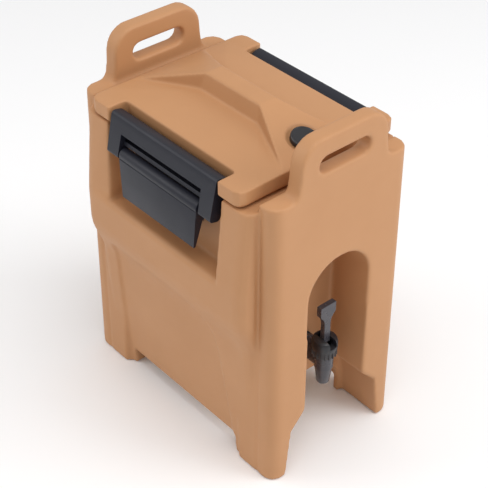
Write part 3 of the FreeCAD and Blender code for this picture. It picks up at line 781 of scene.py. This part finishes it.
class Fitter:
    """Puts finished pieces on their bodies."""

    def __init__(self, frame: dict[str, Any], paint: PaintShop) -> None:
        """Keep the frame and the paint shop."""
        self.frame = frame
        self.paint = paint

    def fit(self, piece: bpy.types.Object, body: str, slot: str, nodes: Sequence[str]) -> None:
        """Dress a piece, let it ride on its body and stand for its frame nodes.

        Args:
            piece: Finished piece.
            body: Body that carries it.
            slot: Material slot.
            nodes: Frame nodes that it replaces.
        """
        self.paint.dress(piece, slot)
        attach(piece, body)
        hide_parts(*nodes)
        log.info("%s: %d faces, on %s", piece.name, len(piece.data.polygons), body)

    def dress_frame(self) -> None:
        """Give every frame node the finish of its slot."""
        for part in self.frame["record"]["subparts"]:
            self.paint.dress(self.frame["nodes"][part["node"]], part["material_slot"])


# ---------------------------------------------------------------- body
@dataclass
class BodyMoulding:
    """Double-wall body: trunk, end panels with handles, latch recesses, faucet alcove and feet."""

    half_length: float = 148.0
    foot_half: float = 98.0
    waist_half: float = 109.0
    lip_half: float = 126.0
    rim_half: float = 116.0
    waist: float = 180.0
    bulge: float = 240.0
    lip: float = 284.0
    rim: float = 390.0
    corner: float = 16.0
    panel_half: float = 103.0
    panel_out: float = 23.0
    panel_flare: float = 6.0
    panel_corner: float = 17.0
    shoulder: float = 402.0
    top: float = 467.0
    handle_thick: float = 21.0
    handle_round: float = 26.0
    slot_middle: float = 432.0
    slot_half: float = 38.0
    slot_tall: float = 21.0
    recess_half: float = 101.0
    recess_wall: float = 91.4
    recess_lean: float = 6.0
    arch_half: float = 48.0
    arch_top: float = 298.0
    arch_back: float = -113.0
    foot_rise: float = 26.0
    crease_x: float = 104.0
    crease_y: float = 149.5
    crease_top: float = 398.0
    crease_reach: float = 2.6
    inset_top: float = 214.0
    inset_deep: float = 3.2
    tunnel_half: float = 72.0
    tunnel_top: float = 72.0
    mouth_x: float = 73.5
    mouth_y: float = 117.5
    mouth_corner: float = 18.0
    voxel: float = 2.0
    softening: int = 12
    most_triangles: int = 185000

    def trunk(self, name: str, inset: float) -> bpy.types.Object:
        """Main trunk, with its walls moved in by an inset.

        Args:
            name: Piece name.
            inset: How far the walls move in.

        Returns:
            The trunk.
        """
        y = self.half_length - inset
        steps = 6
        rows = [(0.0, self.foot_half - inset, -y, y)]
        for step in range(steps + 1):
            share = step / steps
            ease = share * share * (3 - 2 * share)
            half = self.waist_half + (self.lip_half - self.waist_half) * ease
            rows.append((self.waist + (self.bulge - self.waist) * share, half - inset, -y, y))
        rows.append((self.lip, self.lip_half - inset, -y, y))
        rows.append((self.rim, self.rim_half - inset, -y, y))
        trunk = Bench.tower(name, rows)
        Bench.bevel(trunk, lambda a, b: standing(a, b) and near(abs(a.y), y), self.corner, 3)
        return trunk

    def end_panel(self, side: int) -> bpy.types.Object:
        """Front or rear panel with its shoulder.

        Args:
            side: -1 for the front, 1 for the rear.

        Returns:
            The panel.
        """
        outer = self.half_length + self.panel_out
        inner = self.half_length - self.corner - self.panel_corner
        rows = []
        for z, flare in ((0.0, self.panel_flare), (self.shoulder, 0.0)):
            y0, y1 = sorted((side * (outer + flare), side * inner))
            rows.append((z, self.panel_half, y0, y1))
        panel = Bench.tower("end_panel", rows)
        Bench.bevel(panel, lambda a, b: standing(a, b) and min(side * a.y, side * b.y) > outer - 1,
                    self.panel_corner, 6)
        return panel

    def handle(self, side: int) -> bpy.types.Object:
        """Carrying handle with its finger slot.

        Args:
            side: -1 for the front, 1 for the rear.

        Returns:
            The handle.
        """
        outer = side * (self.half_length + self.panel_out)
        y0, y1 = sorted((outer, outer - side * self.handle_thick))
        halves = ((388, 78.0), (402, 75.0), (405, 70.5), (410, 67.8), (418, 66.2), (self.top, 62.0))
        handle = Bench.tower("handle", [(z, half, y0, y1) for z, half in halves])
        Bench.bevel(handle, level(self.top), self.handle_round, 8)
        slot = Bench.cube("slot", (-self.slot_half, y0 - 10, self.slot_middle - self.slot_tall / 2),
                          (self.slot_half, y1 + 10, self.slot_middle + self.slot_tall / 2))
        Bench.bevel(slot, lambda a, b: abs(a.y - b.y) > 1, self.slot_tall / 2 - 0.1, 6)
        Bench.join(handle, slot, Cut.TAKE)
        Bench.ease(handle, 5.0, 45.0, 3)
        return handle

    def corner_crease(self, side: int) -> bpy.types.Object:
        """Sharp groove where an end panel meets the left side of the trunk.

        Args:
            side: -1 for the front, 1 for the rear.

        Returns:
            The cutting solid, an upright bar on its corner.
        """
        reach = self.crease_reach
        groove = Bench.cube("crease", (-reach, -reach, -5), (reach, reach, self.crease_top))
        turn = Matrix.Rotation(math.radians(45), 4, "Z")
        return Bench.place(groove, turn, (-self.crease_x, side * self.crease_y, 0))

    def recess(self) -> bpy.types.Object:
        """Space for the left latch.

        Returns:
            The cutting solid.
        """
        space = Bench.cube("recess", (-self.lip_half - 20, -self.recess_half, self.lip),
                           (-self.recess_wall, self.recess_half, self.rim + 1))
        Bench.shift(space, lambda c: near(c.z, self.lip) and near(c.x, -self.recess_wall),
                    (-self.recess_lean, 0, 0))
        return space

    def side_inset(self) -> bpy.types.Object:
        """Shallow inset between the legs on the left side.

        Returns:
            The cutting solid.
        """
        y = self.half_length - 42.0
        inset = Bench.cube("side_inset", (-self.lip_half - 20, -y, -5), (0, y + 6, self.inset_top))
        Bench.shift(inset, lambda c: c.z > 200 and c.y < 0, (0, 30.0, 0))
        Bench.bevel(inset, lambda a, b: abs(a.x - b.x) > 1 and a.z > 200 and a.y < 0, 60.0, 10)
        Bench.bevel(inset, lambda a, b: abs(a.x - b.x) > 1 and a.z > 200 and a.y > 90, 14.0, 5)
        Bench.join(inset, self.trunk("inner_trunk", self.inset_deep), Cut.TAKE)
        return inset

    def alcove(self) -> bpy.types.Object:
        """Arched space for the faucet, opening out between the feet.

        Returns:
            The cutting solid.
        """
        front = -self.half_length - self.panel_out - 25
        arch = Bench.cube("alcove", (-self.arch_half, front, -2),
                          (self.arch_half, self.arch_back, self.arch_top))
        Bench.bevel(arch, level(self.arch_top), self.arch_half - 0.2, 12)
        splay = Bench.tower("splay", [(z, half, front, self.arch_back) for z, half in
                                      ((-2, 79.0), (66, 71.0), (90, 48.2), (94, 48.1))])
        Bench.join(arch, splay, Cut.ADD)
        return arch

    def base_space(self) -> bpy.types.Object:
        """Open space between the feet and the arched tunnel under the tank.

        Returns:
            The cutting solid.
        """
        y = self.half_length - 44.0
        space = Bench.cube("base_space", (-140, -y, -2), (140, y, self.foot_rise))
        half, top = self.tunnel_half, self.tunnel_top
        tunnel = Bench.cube("tunnel", (-half, self.arch_back - 1, -2),
                            (half, self.half_length + self.panel_out - 28, top))
        Bench.bevel(tunnel, level(top), 53.0, 10)
        Bench.join(space, tunnel, Cut.ADD)
        return space

    def build(self, fitter: Fitter) -> None:
        """Model, hollow and fit the body moulding.

        Args:
            fitter: Puts the piece on its body.
        """
        body = self.trunk("body_moulding", 0.0)
        for side in (-1, 1):
            Bench.join(body, self.end_panel(side), Cut.ADD)
        above = Bench.cube("above", (-140, -self.half_length + 2, self.rim),
                           (140, self.half_length - 2, self.top))
        Bench.join(body, above, Cut.TAKE)
        for side in (-1, 1):
            Bench.join(body, self.handle(side), Cut.ADD)
        makers = (self.recess, self.side_inset, lambda: self.corner_crease(-1), lambda: self.corner_crease(1))
        for maker in makers:
            left = maker()
            right = Bench.mirrored(left, "right_tool")
            Bench.join(body, left, Cut.TAKE)
            Bench.join(body, right, Cut.TAKE)
        Bench.join(body, self.alcove(), Cut.TAKE)
        Bench.join(body, self.base_space(), Cut.TAKE)
        Bench.bevel(body, lambda a, b: level(self.lip)(a, b) and near(abs(a.x), self.lip_half), 6.0, 3)
        Bench.soften(body, self.voxel, self.softening, self.most_triangles)
        self.hollow(body, fitter)
        Bench.tidy(body, 50.0)
        fitter.fit(body, "body", "body_plastic", ["body_shell"])

    def hollow(self, body: bpy.types.Object, fitter: Fitter) -> None:
        """Clear the space that the foam and the tank fill, and the faucet's hole.

        Args:
            body: Body moulding.
            fitter: Holds the frame whose foam gives the space.
        """
        Bench.join(body, Bench.solid_of(fitter.frame["nodes"]["body_foam"], "foam_space"), Cut.TAKE)
        mouth = Bench.cube("mouth", (-self.mouth_x, -self.mouth_y, 380),
                           (self.mouth_x, self.mouth_y, self.rim + 5))
        Bench.bevel(mouth, standing, self.mouth_corner, 6)
        Bench.join(body, mouth, Cut.TAKE)


# ---------------------------------------------------------------- lid
@dataclass
class LidMoulding:
    """Lift-off lid: plate with latch notches, raised spine and the vent cap's dish."""

    half_width: float = 117.0
    half_length: float = 132.0
    bottom: float = 391.0
    edge: float = 413.0
    ridge: float = 442.0
    ridge_x: float = 13.0
    ridge_y: float = 46.0
    foot_x: float = 18.0
    foot_y: float = 51.0
    field: float = 420.0
    crease_x: float = 54.0
    crease_y: float = 131.5
    notch_x: float = 91.0
    notch_y: float = 97.0
    corner: float = 10.0
    vent_y: float = -106.0
    voxel: float = 1.5
    softening: int = 7
    most_triangles: int = 170000

    @property
    def slope(self) -> float:
        """Slope of the end facets, in radians."""
        return math.atan2(self.ridge - self.edge, self.crease_y + 0.5 - self.ridge_y)

    @property
    def vent_z(self) -> float:
        """Height of the facet at the vent cap."""
        return self.ridge - (abs(self.vent_y) - self.ridge_y) * math.tan(self.slope)

    def spine(self) -> bpy.types.Object:
        """Raised spine: two end facets with side walls that fade out at the corners.

        Returns:
            The spine.
        """
        low = 400.0
        spine = Bench.tower("spine", [(low, 91.0, -self.crease_y, self.crease_y),
                                      (self.edge, 91.0, -self.crease_y, self.crease_y),
                                      (self.ridge, 91.0, -self.ridge_y, self.ridge_y)])
        for side in (-1, 1):
            Bench.join(spine, self.side_hollow(side), Cut.TAKE)
        return spine

    def side_hollow(self, side: int) -> bpy.types.Object:
        """Space beside the spine, whose inner walls lean as the spine's do.

        Args:
            side: -1 for the left, 1 for the right.

        Returns:
            The cutting solid.
        """
        over, under, far = self.ridge + 20, 380.0, 130.0
        ridge = Vector((self.ridge_x, self.ridge_y, self.ridge))
        foot = Vector((self.foot_x, self.foot_y, self.field))
        end = Vector((self.crease_x, self.crease_y, self.edge))
        normal = (foot - ridge).cross(end - ridge)
        run = (foot - ridge) / (ridge.z - foot.z)
        hollow = Bench.cube("side_hollow", (0, -1, under), (far, 1, over))
        for z in (under, over):
            x_in = ridge.x + run.x * (ridge.z - z)
            for x, wanted in ((0, x_in), (far, far)):
                y = ridge.y - (normal.x * (wanted - ridge.x) + normal.z * (z - ridge.z)) / normal.y
                for way in (-1, 1):
                    Bench.shift(hollow, lambda c: near(c.x, x) and near(c.z, z) and near(c.y, way),
                                (wanted - x, way * (y - 1), 0))
        return hollow if side > 0 else self.mirror_tool(hollow)

    @staticmethod
    def mirror_tool(tool: bpy.types.Object) -> bpy.types.Object:
        """Swap a cutting solid for its mirror image.

        Args:
            tool: Cutting solid, which is removed.

        Returns:
            Its mirror image.
        """
        twin = Bench.mirrored(tool, "left_tool")
        bpy.data.objects.remove(tool, do_unlink=True)
        return twin

    def plate(self) -> bpy.types.Object:
        """Lid plate with its sloped side fields and the two latch notches.

        Returns:
            The plate.
        """
        x, y = self.half_width, self.half_length
        plate = Bench.cube("lid_moulding", (-x, -y, self.bottom), (x, y, self.edge))
        Bench.bevel(plate, standing, self.corner, 2)
        Bench.bevel(plate, lambda a, b: near(a.z, self.bottom) and near(b.z, self.bottom), 4.5, 1)
        field = Bench.tower("field", [(self.bottom + 5, self.notch_x, -self.crease_y, self.crease_y),
                                      (self.edge, self.notch_x, -self.crease_y, self.crease_y),
                                      (self.field, self.foot_x, -self.foot_y, self.foot_y)])
        Bench.join(plate, field, Cut.ADD)
        for side in (-1, 1):
            x0, x1 = sorted((side * self.notch_x, side * (x + 20)))
            notch = Bench.cube("notch", (x0, -self.notch_y, self.bottom - 10),
                               (x1, self.notch_y, self.edge + 10))
            Bench.bevel(notch, lambda a, b: standing(a, b) and near(abs(a.x), self.notch_x), 5.0, 4)
            Bench.join(plate, notch, Cut.TAKE)
        return plate

    def on_facet(self, piece: bpy.types.Object) -> bpy.types.Object:
        """Move a piece made on the Z axis square onto the front facet.

        Args:
            piece: Piece to move.

        Returns:
            The same piece.
        """
        return Bench.place(piece, Matrix.Rotation(self.slope, 4, "X"), (0, self.vent_y, self.vent_z))

    def build(self, fitter: Fitter) -> None:
        """Model and fit the lid moulding and the vent cap.

        Args:
            fitter: Puts the pieces on their bodies.
        """
        lid = self.plate()
        Bench.join(lid, self.spine(), Cut.ADD)
        dish = Bench.turned("dish", [(-4.5, 17.6), (-3.5, 18.6), (0.0, 22.0), (3.0, 26.0), (10.0, 33.0)], 64)
        Bench.join(lid, self.on_facet(dish), Cut.TAKE)
        Bench.soften(lid, self.voxel, self.softening, self.most_triangles)
        Bench.join(lid, Bench.solid_of(fitter.frame["nodes"]["lid_foam"], "lid_space"), Cut.TAKE)
        Bench.join(lid, self.on_facet(Bench.round_bar("vent_hole", 6.2, -40, 5, 32)), Cut.TAKE)
        Bench.tidy(lid, 50.0)
        fitter.fit(lid, "lid", "body_plastic", ["lid_shell"])
        self.build_vent(fitter)

    def build_vent(self, fitter: Fitter) -> None:
        """Model and fit the vent cap.

        Args:
            fitter: Puts the piece on its body.
        """
        rows = [(-20.0, 5.0), (-4.1, 5.0), (-4.0, 14.5), (-3.2, 16.0), (1.6, 16.0), (2.3, 15.4), (2.5, 14.4),
                (2.5, 12.6), (2.0, 12.0), (2.0, 4.0)]
        cap = Bench.turned("vent_cap_top", rows, 72)
        self.on_facet(cap)
        Bench.tidy(cap, 35.0)
        fitter.fit(cap, "vent", "black_plastic", ["vent_cap"])


# ---------------------------------------------------------------- latches
@dataclass
class Latch:
    """Side latch: hooded frame on the lid's rod, and the pull lever on its pins."""

    rod_x: float = 107.0
    rod_z: float = 396.0
    lean: float = 12.0
    front: float = 117.0
    back: float = 94.0
    crown: float = 409.0
    half: float = 93.0
    window_half: float = 71.0
    bar_bottom: float = 387.5
    wall: float = 3.5
    web_drop: float = 18.0
    shelf_half: float = 72.0
    shelf_depth: float = 3.5
    shelf_thick: float = 2.5
    lip_drop: float = 5.0
    leg_depth: float = 15.0
    pin_below: float = 33.5
    pin_out: float = 3.0
    barrel: float = 8.0
    lever_half: float = 69.5
    lever_drop: float = 54.0

    @property
    def pin(self) -> tuple[float, float]:
        """Place of the lever's pins, as (x, z) on the left side."""
        a = math.radians(self.lean)
        return (-self.rod_x - self.pin_out * math.cos(a) - self.pin_below * math.sin(a),
                self.rod_z + self.pin_out * math.sin(a) - self.pin_below * math.cos(a))

    def frame(self) -> bpy.types.Object:
        """Hooded top bar with its web and two legs, on the left side.

        Returns:
            The frame, leaned as it sits when closed.
        """
        bar = Bench.cube("latch_bar_left", (-self.front, -self.half, self.bar_bottom),
                         (-self.back, self.half, self.crown))
        Bench.bevel(bar, edge_at(-self.back, self.crown), 13.0, 8)
        Bench.bevel(bar, edge_at(-self.front, self.crown), 4.5, 3)
        low = self.rod_z - self.pin_below - 7.0
        for side in (-1, 1):
            y0, y1 = sorted((side * self.window_half, side * self.half))
            leg = Bench.cube("leg", (-self.front, y0, low),
                             (-self.front + self.leg_depth, y1, self.crown - 10))
            Bench.bevel(leg, level(low), 4.5, 4)
            Bench.shift(leg, lambda c: c.z < low + 6 and side * c.y < self.window_half + 1,
                        (0, side * 1.5, 0))
            Bench.join(bar, leg, Cut.ADD)
        hollow = Bench.cube("hollow", (-self.front + self.wall, -self.half + 8, self.bar_bottom - 2),
                            (-self.back - self.wall, self.half - 8, self.crown - self.wall))
        Bench.bevel(hollow, edge_at(-self.back - self.wall, self.crown - self.wall), 9.5, 6)
        for side in (-1, 1):
            Bench.shift(hollow, lambda c: side * c.y > self.window_half, (0, -side * 13.5, 0))
        Bench.join(bar, hollow, Cut.TAKE)
        shelf_top = self.rod_z - self.web_drop
        web = Bench.cube("web", (-self.back - self.wall - 0.8, -self.half + 6, shelf_top),
                         (-self.back - 0.8, self.half - 6, self.rod_z))
        Bench.join(bar, web, Cut.ADD)
        shelf_front = -self.rod_x - self.shelf_depth
        shelf = Bench.cube("shelf", (shelf_front, -self.shelf_half, shelf_top - self.shelf_thick),
                           (-self.back - 1.5, self.shelf_half, shelf_top))
        Bench.join(bar, shelf, Cut.ADD)
        lip = Bench.cube("shelf_lip", (shelf_front, -self.shelf_half, shelf_top - self.lip_drop),
                         (shelf_front + self.shelf_thick, self.shelf_half, shelf_top - 1))
        Bench.join(bar, lip, Cut.ADD)
        hole = Bench.cross_bar("rod_hole", 2.7, self.half + 5, ALONG_Y, (-self.rod_x, 0, self.rod_z), 32)
        Bench.join(bar, hole, Cut.TAKE)
        Bench.ease(bar, 1.0, 32.0, 3)
        pivot = Matrix.Translation((-self.rod_x * MM, 0, self.rod_z * MM))
        turn = pivot @ Matrix.Rotation(math.radians(self.lean), 4, "Y") @ pivot.inverted()
        Bench.place(bar, turn)
        Bench.tidy(bar, 30.0)
        return bar

    def lever(self) -> bpy.types.Object:
        """Pull lever: round barrel and tapering tail; build adds the hook under the keeper ledge.

        Returns:
            The lever on the left side.
        """
        x, z = self.pin
        y = self.lever_half
        front, low = x - self.barrel, z - self.lever_drop
        tail = Bench.cube("latch_handle_left", (front, -y, low), (x + 6.0, y, z - 4))
        Bench.shift(tail, lambda c: near(c.z, low) and c.x > x, (-11.0, 0, 0))
        Bench.shift(tail, lambda c: near(c.z, low), (-1.0, 0, 0))
        Bench.spread(tail, lambda c: near(c.z, low), (1, (y - 4.0) / y, 1), (x, 0, low))
        upper = Bench.cube("upper", (front + 0.4, -y, z - 12), (x + 5.6, y, z))
        Bench.join(tail, upper, Cut.ADD)
        Bench.join(tail, Bench.cross_bar("barrel", self.barrel, y, ALONG_Y, (x, 0, z), 64), Cut.ADD)
        Bench.ease(tail, 0.9, 35.0, 3)
        Bench.tidy(tail, 28.0)
        return tail

    def build(self, fitter: Fitter) -> None:
        """Model the left latch, mirror it and fit both.

        Args:
            fitter: Puts the pieces on their bodies.
        """
        frame, lever = self.frame(), self.lever()
        hook = Bench.solid_of(fitter.frame["nodes"]["latch_lever_left"], "hook_of_lever")
        x, z = self.pin
        keep = Bench.cube("keep", (x + 3, -80, z - 20), (x + 40, 80, z + 9))
        Bench.join(hook, keep, Cut.SHARED)
        Bench.join(lever, hook, Cut.ADD)
        Bench.tidy(lever, 28.0)
        mirrored = (Bench.mirrored(frame, "latch_bar_right"), Bench.mirrored(lever, "latch_handle_right"))
        twins = {Side.LEFT: (frame, lever), Side.RIGHT: mirrored}
        for side, (bar, handle) in twins.items():
            label = side.name.lower()
            fitter.fit(bar, label + "_frame", "latch_plastic", ["latch_frame_" + label])
            fitter.fit(handle, label + "_lever", "latch_plastic", ["latch_lever_" + label])


# ---------------------------------------------------------------- faucet
@dataclass
class Faucet:
    """Faucet: shank and spout, bonnet and pull lever."""

    y: float = -154.0
    shank_z: float = 128.0
    shank_end: float = -76.0
    shank_radius: float = 11.0
    mouth: float = 95.0
    seat: float = 118.0
    barrel_top: float = 146.0
    bonnet_base: float = 140.0
    bonnet_top: float = 165.0
    bonnet_radius: float = 16.0
    pin_z: float = 160.0
    top: float = 216.0
    slot_half: float = 5.4
    lever_half: float = 4.8
    eye_radius: float = 4.0
    pin_radius: float = 1.55
    coil_top: float = 148.6
    coil_keep: float = 0.835

    def upright(self, piece: bpy.types.Object) -> bpy.types.Object:
        """Move a piece made on the Z axis to the spout's axis."""
        return Bench.place(piece, Matrix.Identity(4), (0, self.y, 0))

    def along(self, piece: bpy.types.Object) -> bpy.types.Object:
        """Turn a piece made on the Z axis onto the shank's axis, its heights becoming -y."""
        return Bench.place(piece, ALONG_Y, (0, 0, self.shank_z))

    def spout(self) -> bpy.types.Object:
        """Spout, valve barrel and shank in one piece.

        Returns:
            The spout.
        """
        body = self.upright(Bench.turned("faucet_spout", [
            (self.mouth, 7.6), (self.mouth + 1.2, 8.2), (107, 9.4), (117, 10.8), (119, 11.0), (119.5, 11.7),
            (self.barrel_top, 12.0)], 56))
        shank = self.along(Bench.turned("shank", [(-self.shank_end * -1, 10.4), (77.5, self.shank_radius),
                                                  (-self.y, self.shank_radius)], 48))
        Bench.join(body, shank, Cut.ADD)
        nut = Bench.round_bar("flange_nut", 17.3, 116.0, 122.0, 6)
        Bench.bevel(nut, lambda a, b: abs(a.z - b.z) < 0.1 and a.z > 121, 1.2, 2)
        Bench.join(body, self.along(nut), Cut.ADD)
        ring = self.along(Bench.turned("shoulder", [(122.0, 13.6), (127.0, 13.2), (130.0, 12.2)], 48))
        Bench.join(body, ring, Cut.ADD)
        valve_bore = Bench.round_bar("valve_bore", 9.0, self.seat, self.barrel_top + 2, 48)
        Bench.join(body, self.upright(valve_bore), Cut.TAKE)
        bore = Bench.turned("spout_bore", [(self.mouth - 1, 5.6), (self.seat + 1, 6.2)], 40)
        Bench.join(body, self.upright(bore), Cut.TAKE)
        Bench.join(body, self.along(Bench.round_bar("shank_bore", 7.0, 70.0, -self.y, 40)), Cut.TAKE)
        Bench.ease(body, 0.5, 38.0, 2)
        Bench.tidy(body, 30.0)
        return body

    def bonnet(self) -> bpy.types.Object:
        """Ribbed screw bonnet with the lever's slot.

        Returns:
            The bonnet.
        """
        bonnet = Bench.turned("faucet_cap", [
            (self.bonnet_base, 14.0), (self.bonnet_base + 1.0, 14.6), (148.5, 14.9),
            (151.5, self.bonnet_radius), (160, self.bonnet_radius), (163.4, 14.6),
            (self.bonnet_top - 0.3, 11.5), (self.bonnet_top, 10.4)], 64)
        rib = Bench.cube("rib", (13.5, -0.9, self.bonnet_base), (15.7, 0.9, 151))
        Bench.bevel(rib, lambda a, b: standing(a, b) and a.x > 15, 0.5, 2)
        count = 18
        for index in range(count):
            turn = Matrix.Rotation(2 * math.pi * (index + 0.5) / count, 4, "Z")
            Bench.join(bonnet, Bench.place(Bench.copy(rib, "rib_copy"), turn), Cut.ADD)
        bpy.data.objects.remove(rib, do_unlink=True)
        self.upright(bonnet)
        socket = Bench.round_bar("socket", 12.05, self.bonnet_base - 2, self.barrel_top, 48)
        Bench.join(bonnet, self.upright(socket), Cut.TAKE)
        Bench.join(bonnet, self.upright(Bench.round_bar("well", 8.0, self.barrel_top - 1, 162, 40)), Cut.TAKE)
        slot = Bench.cube("lever_slot", (-self.slot_half, self.y - 22, 155.5),
                          (self.slot_half, self.y + 12, 170))
        Bench.join(bonnet, slot, Cut.TAKE)
        Bench.ease(bonnet, 0.35, 40.0, 2)
        Bench.tidy(bonnet, 30.0)
        return bonnet

    def lever(self) -> bpy.types.Object:
        """Pull lever with its wide paddle.

        Returns:
            The lever.
        """
        y = self.y
        rows = [(157.2, 4.8, 2.4), (158.5, 4.8, 3.4), (178, 4.8, 3.4), (186, 4.7, 3.2), (191, 5.2, 3.2),
                (195, 6.6, 3.3), (198.5, 8.8, 3.4), (201.6, 11.6, 3.5), (202.4, 12.0, 3.5),
                (self.top, 12.0, 3.5)]
        lever = Bench.tower("faucet_handle", [(z, half, y - deep, y + deep) for z, half, deep in rows])
        pin = (0, y, self.pin_z)
        Bench.join(lever, Bench.cross_bar("eye", self.eye_radius, self.lever_half, ALONG_X, pin, 40), Cut.ADD)
        Bench.join(lever, Bench.cross_bar("pin_hole", self.pin_radius, 20, ALONG_X, pin, 24), Cut.TAKE)
        Bench.ease(lever, 0.7, 32.0, 3)
        Bench.tidy(lever, 30.0)
        return lever

    def coil(self, fitter: Fitter) -> None:
        """Copy the frame's valve spring and fit it on the body, with its own mesh.

        Args:
            fitter: Holds the frame's coil and puts the piece on its body.
        """
        coil = Bench.solid_of(fitter.frame["nodes"]["valve_spring"], "valve_coil")
        Bench.tidy(coil, 50.0)
        fitter.fit(coil, "body", "steel", ["valve_spring"])
        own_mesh(coil)

    def build(self, fitter: Fitter) -> None:
        """Model and fit the faucet's outer pieces and its spring.

        Args:
            fitter: Puts the pieces on their bodies.
        """
        self.coil(fitter)
        fitter.fit(self.spout(), "body", "faucet_plastic", ["faucet_body"])
        fitter.fit(self.bonnet(), "body", "black_plastic", ["faucet_bonnet"])
        fitter.fit(self.lever(), "tap_lever", "faucet_plastic", ["faucet_lever"])


# ---------------------------------------------------------------- studio
@dataclass
class Studio:
    """Pale floor, soft lights and the camera."""

    eye: Colour = (-823.006, -945.998, 1177.643)
    ahead: Colour = (0.522680, 0.596439, -0.609152)
    right: Colour = (0.753993, -0.656871, 0.003797)
    up: Colour = (0.397870, 0.461281, 0.793044)
    lens: float = 94.14
    floor_half: float = 6.0
    sky_strength: float = 0.57

    def floor(self) -> None:
        """Lay the pale floor."""
        Bench.clear()
        bpy.ops.mesh.primitive_plane_add(size=2 * self.floor_half, location=(0, 0, -0.0006))
        floor = Bench.settle("studio_floor")
        paper = bpy.data.materials.new("studio_paper")
        paper.use_nodes = True
        surface = paper.node_tree.nodes["Principled BSDF"]
        surface.inputs["Base Color"].default_value = (0.97, 0.97, 0.975, 1)
        surface.inputs["Roughness"].default_value = 0.9
        floor.data.materials.append(paper)

    def light(self, name: str, place: Point, size: float, power: float) -> None:
        """Hang one soft lamp that points at the dispenser.

        Args:
            name: Lamp name.
            place: Where it hangs, in metres.
            size: Width of its face.
            power: Watts.
        """
        lamp = bpy.data.lights.new(name, "AREA")
        lamp.energy, lamp.size = power, size
        holder = bpy.data.objects.new(name, lamp)
        holder.location = place
        aim = Vector((0, 0, 0.22)) - Vector(place)
        holder.rotation_euler = aim.to_track_quat("-Z", "Y").to_euler()
        bpy.context.scene.collection.objects.link(holder)

    def camera(self) -> None:
        """Set up the camera."""
        lens = bpy.data.cameras.new("studio_camera")
        lens.lens, lens.sensor_width = self.lens, 36.0
        lens.clip_start, lens.clip_end = 0.05, 50.0
        camera = bpy.data.objects.new("studio_camera", lens)
        back = -Vector(self.ahead)
        axes = Matrix([self.right, self.up, back]).transposed().to_4x4()
        camera.matrix_world = Matrix.Translation(Vector(self.eye) * MM) @ axes
        bpy.context.scene.collection.objects.link(camera)
        bpy.context.scene.camera = camera

    def build(self) -> None:
        """Set up the floor, the lights, the sky and the camera."""
        scene = bpy.context.scene
        self.floor()
        sky = bpy.data.worlds.new("studio_sky")
        sky.use_nodes = True
        sky.node_tree.nodes["Background"].inputs[0].default_value = (1.0, 1.0, 1.0, 1)
        sky.node_tree.nodes["Background"].inputs[1].default_value = self.sky_strength
        scene.world = sky
        self.light("key_lamp", (1.6, -2.2, 1.6), 1.6, 33.0)
        self.light("top_lamp", (-0.2, -0.7, 2.6), 1.6, 25.0)
        self.light("rim_lamp", (-1.8, 1.6, 1.8), 1.4, 16.0)
        self.camera()
        scene.view_settings.view_transform = "Standard"


def main() -> None:
    """Build every sub-assembly around the frame, in order, and report each piece."""
    logging.basicConfig(level=logging.INFO, format="%(name)s: %(message)s")
    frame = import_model()
    fitter = Fitter(frame, PaintShop())
    fitter.dress_frame()
    for assembly in (BodyMoulding(), LidMoulding(), Latch(), Faucet()):
        assembly.build(fitter)
    Studio().build()
    Bench.clear()


if __name__ == "__main__":
    main()
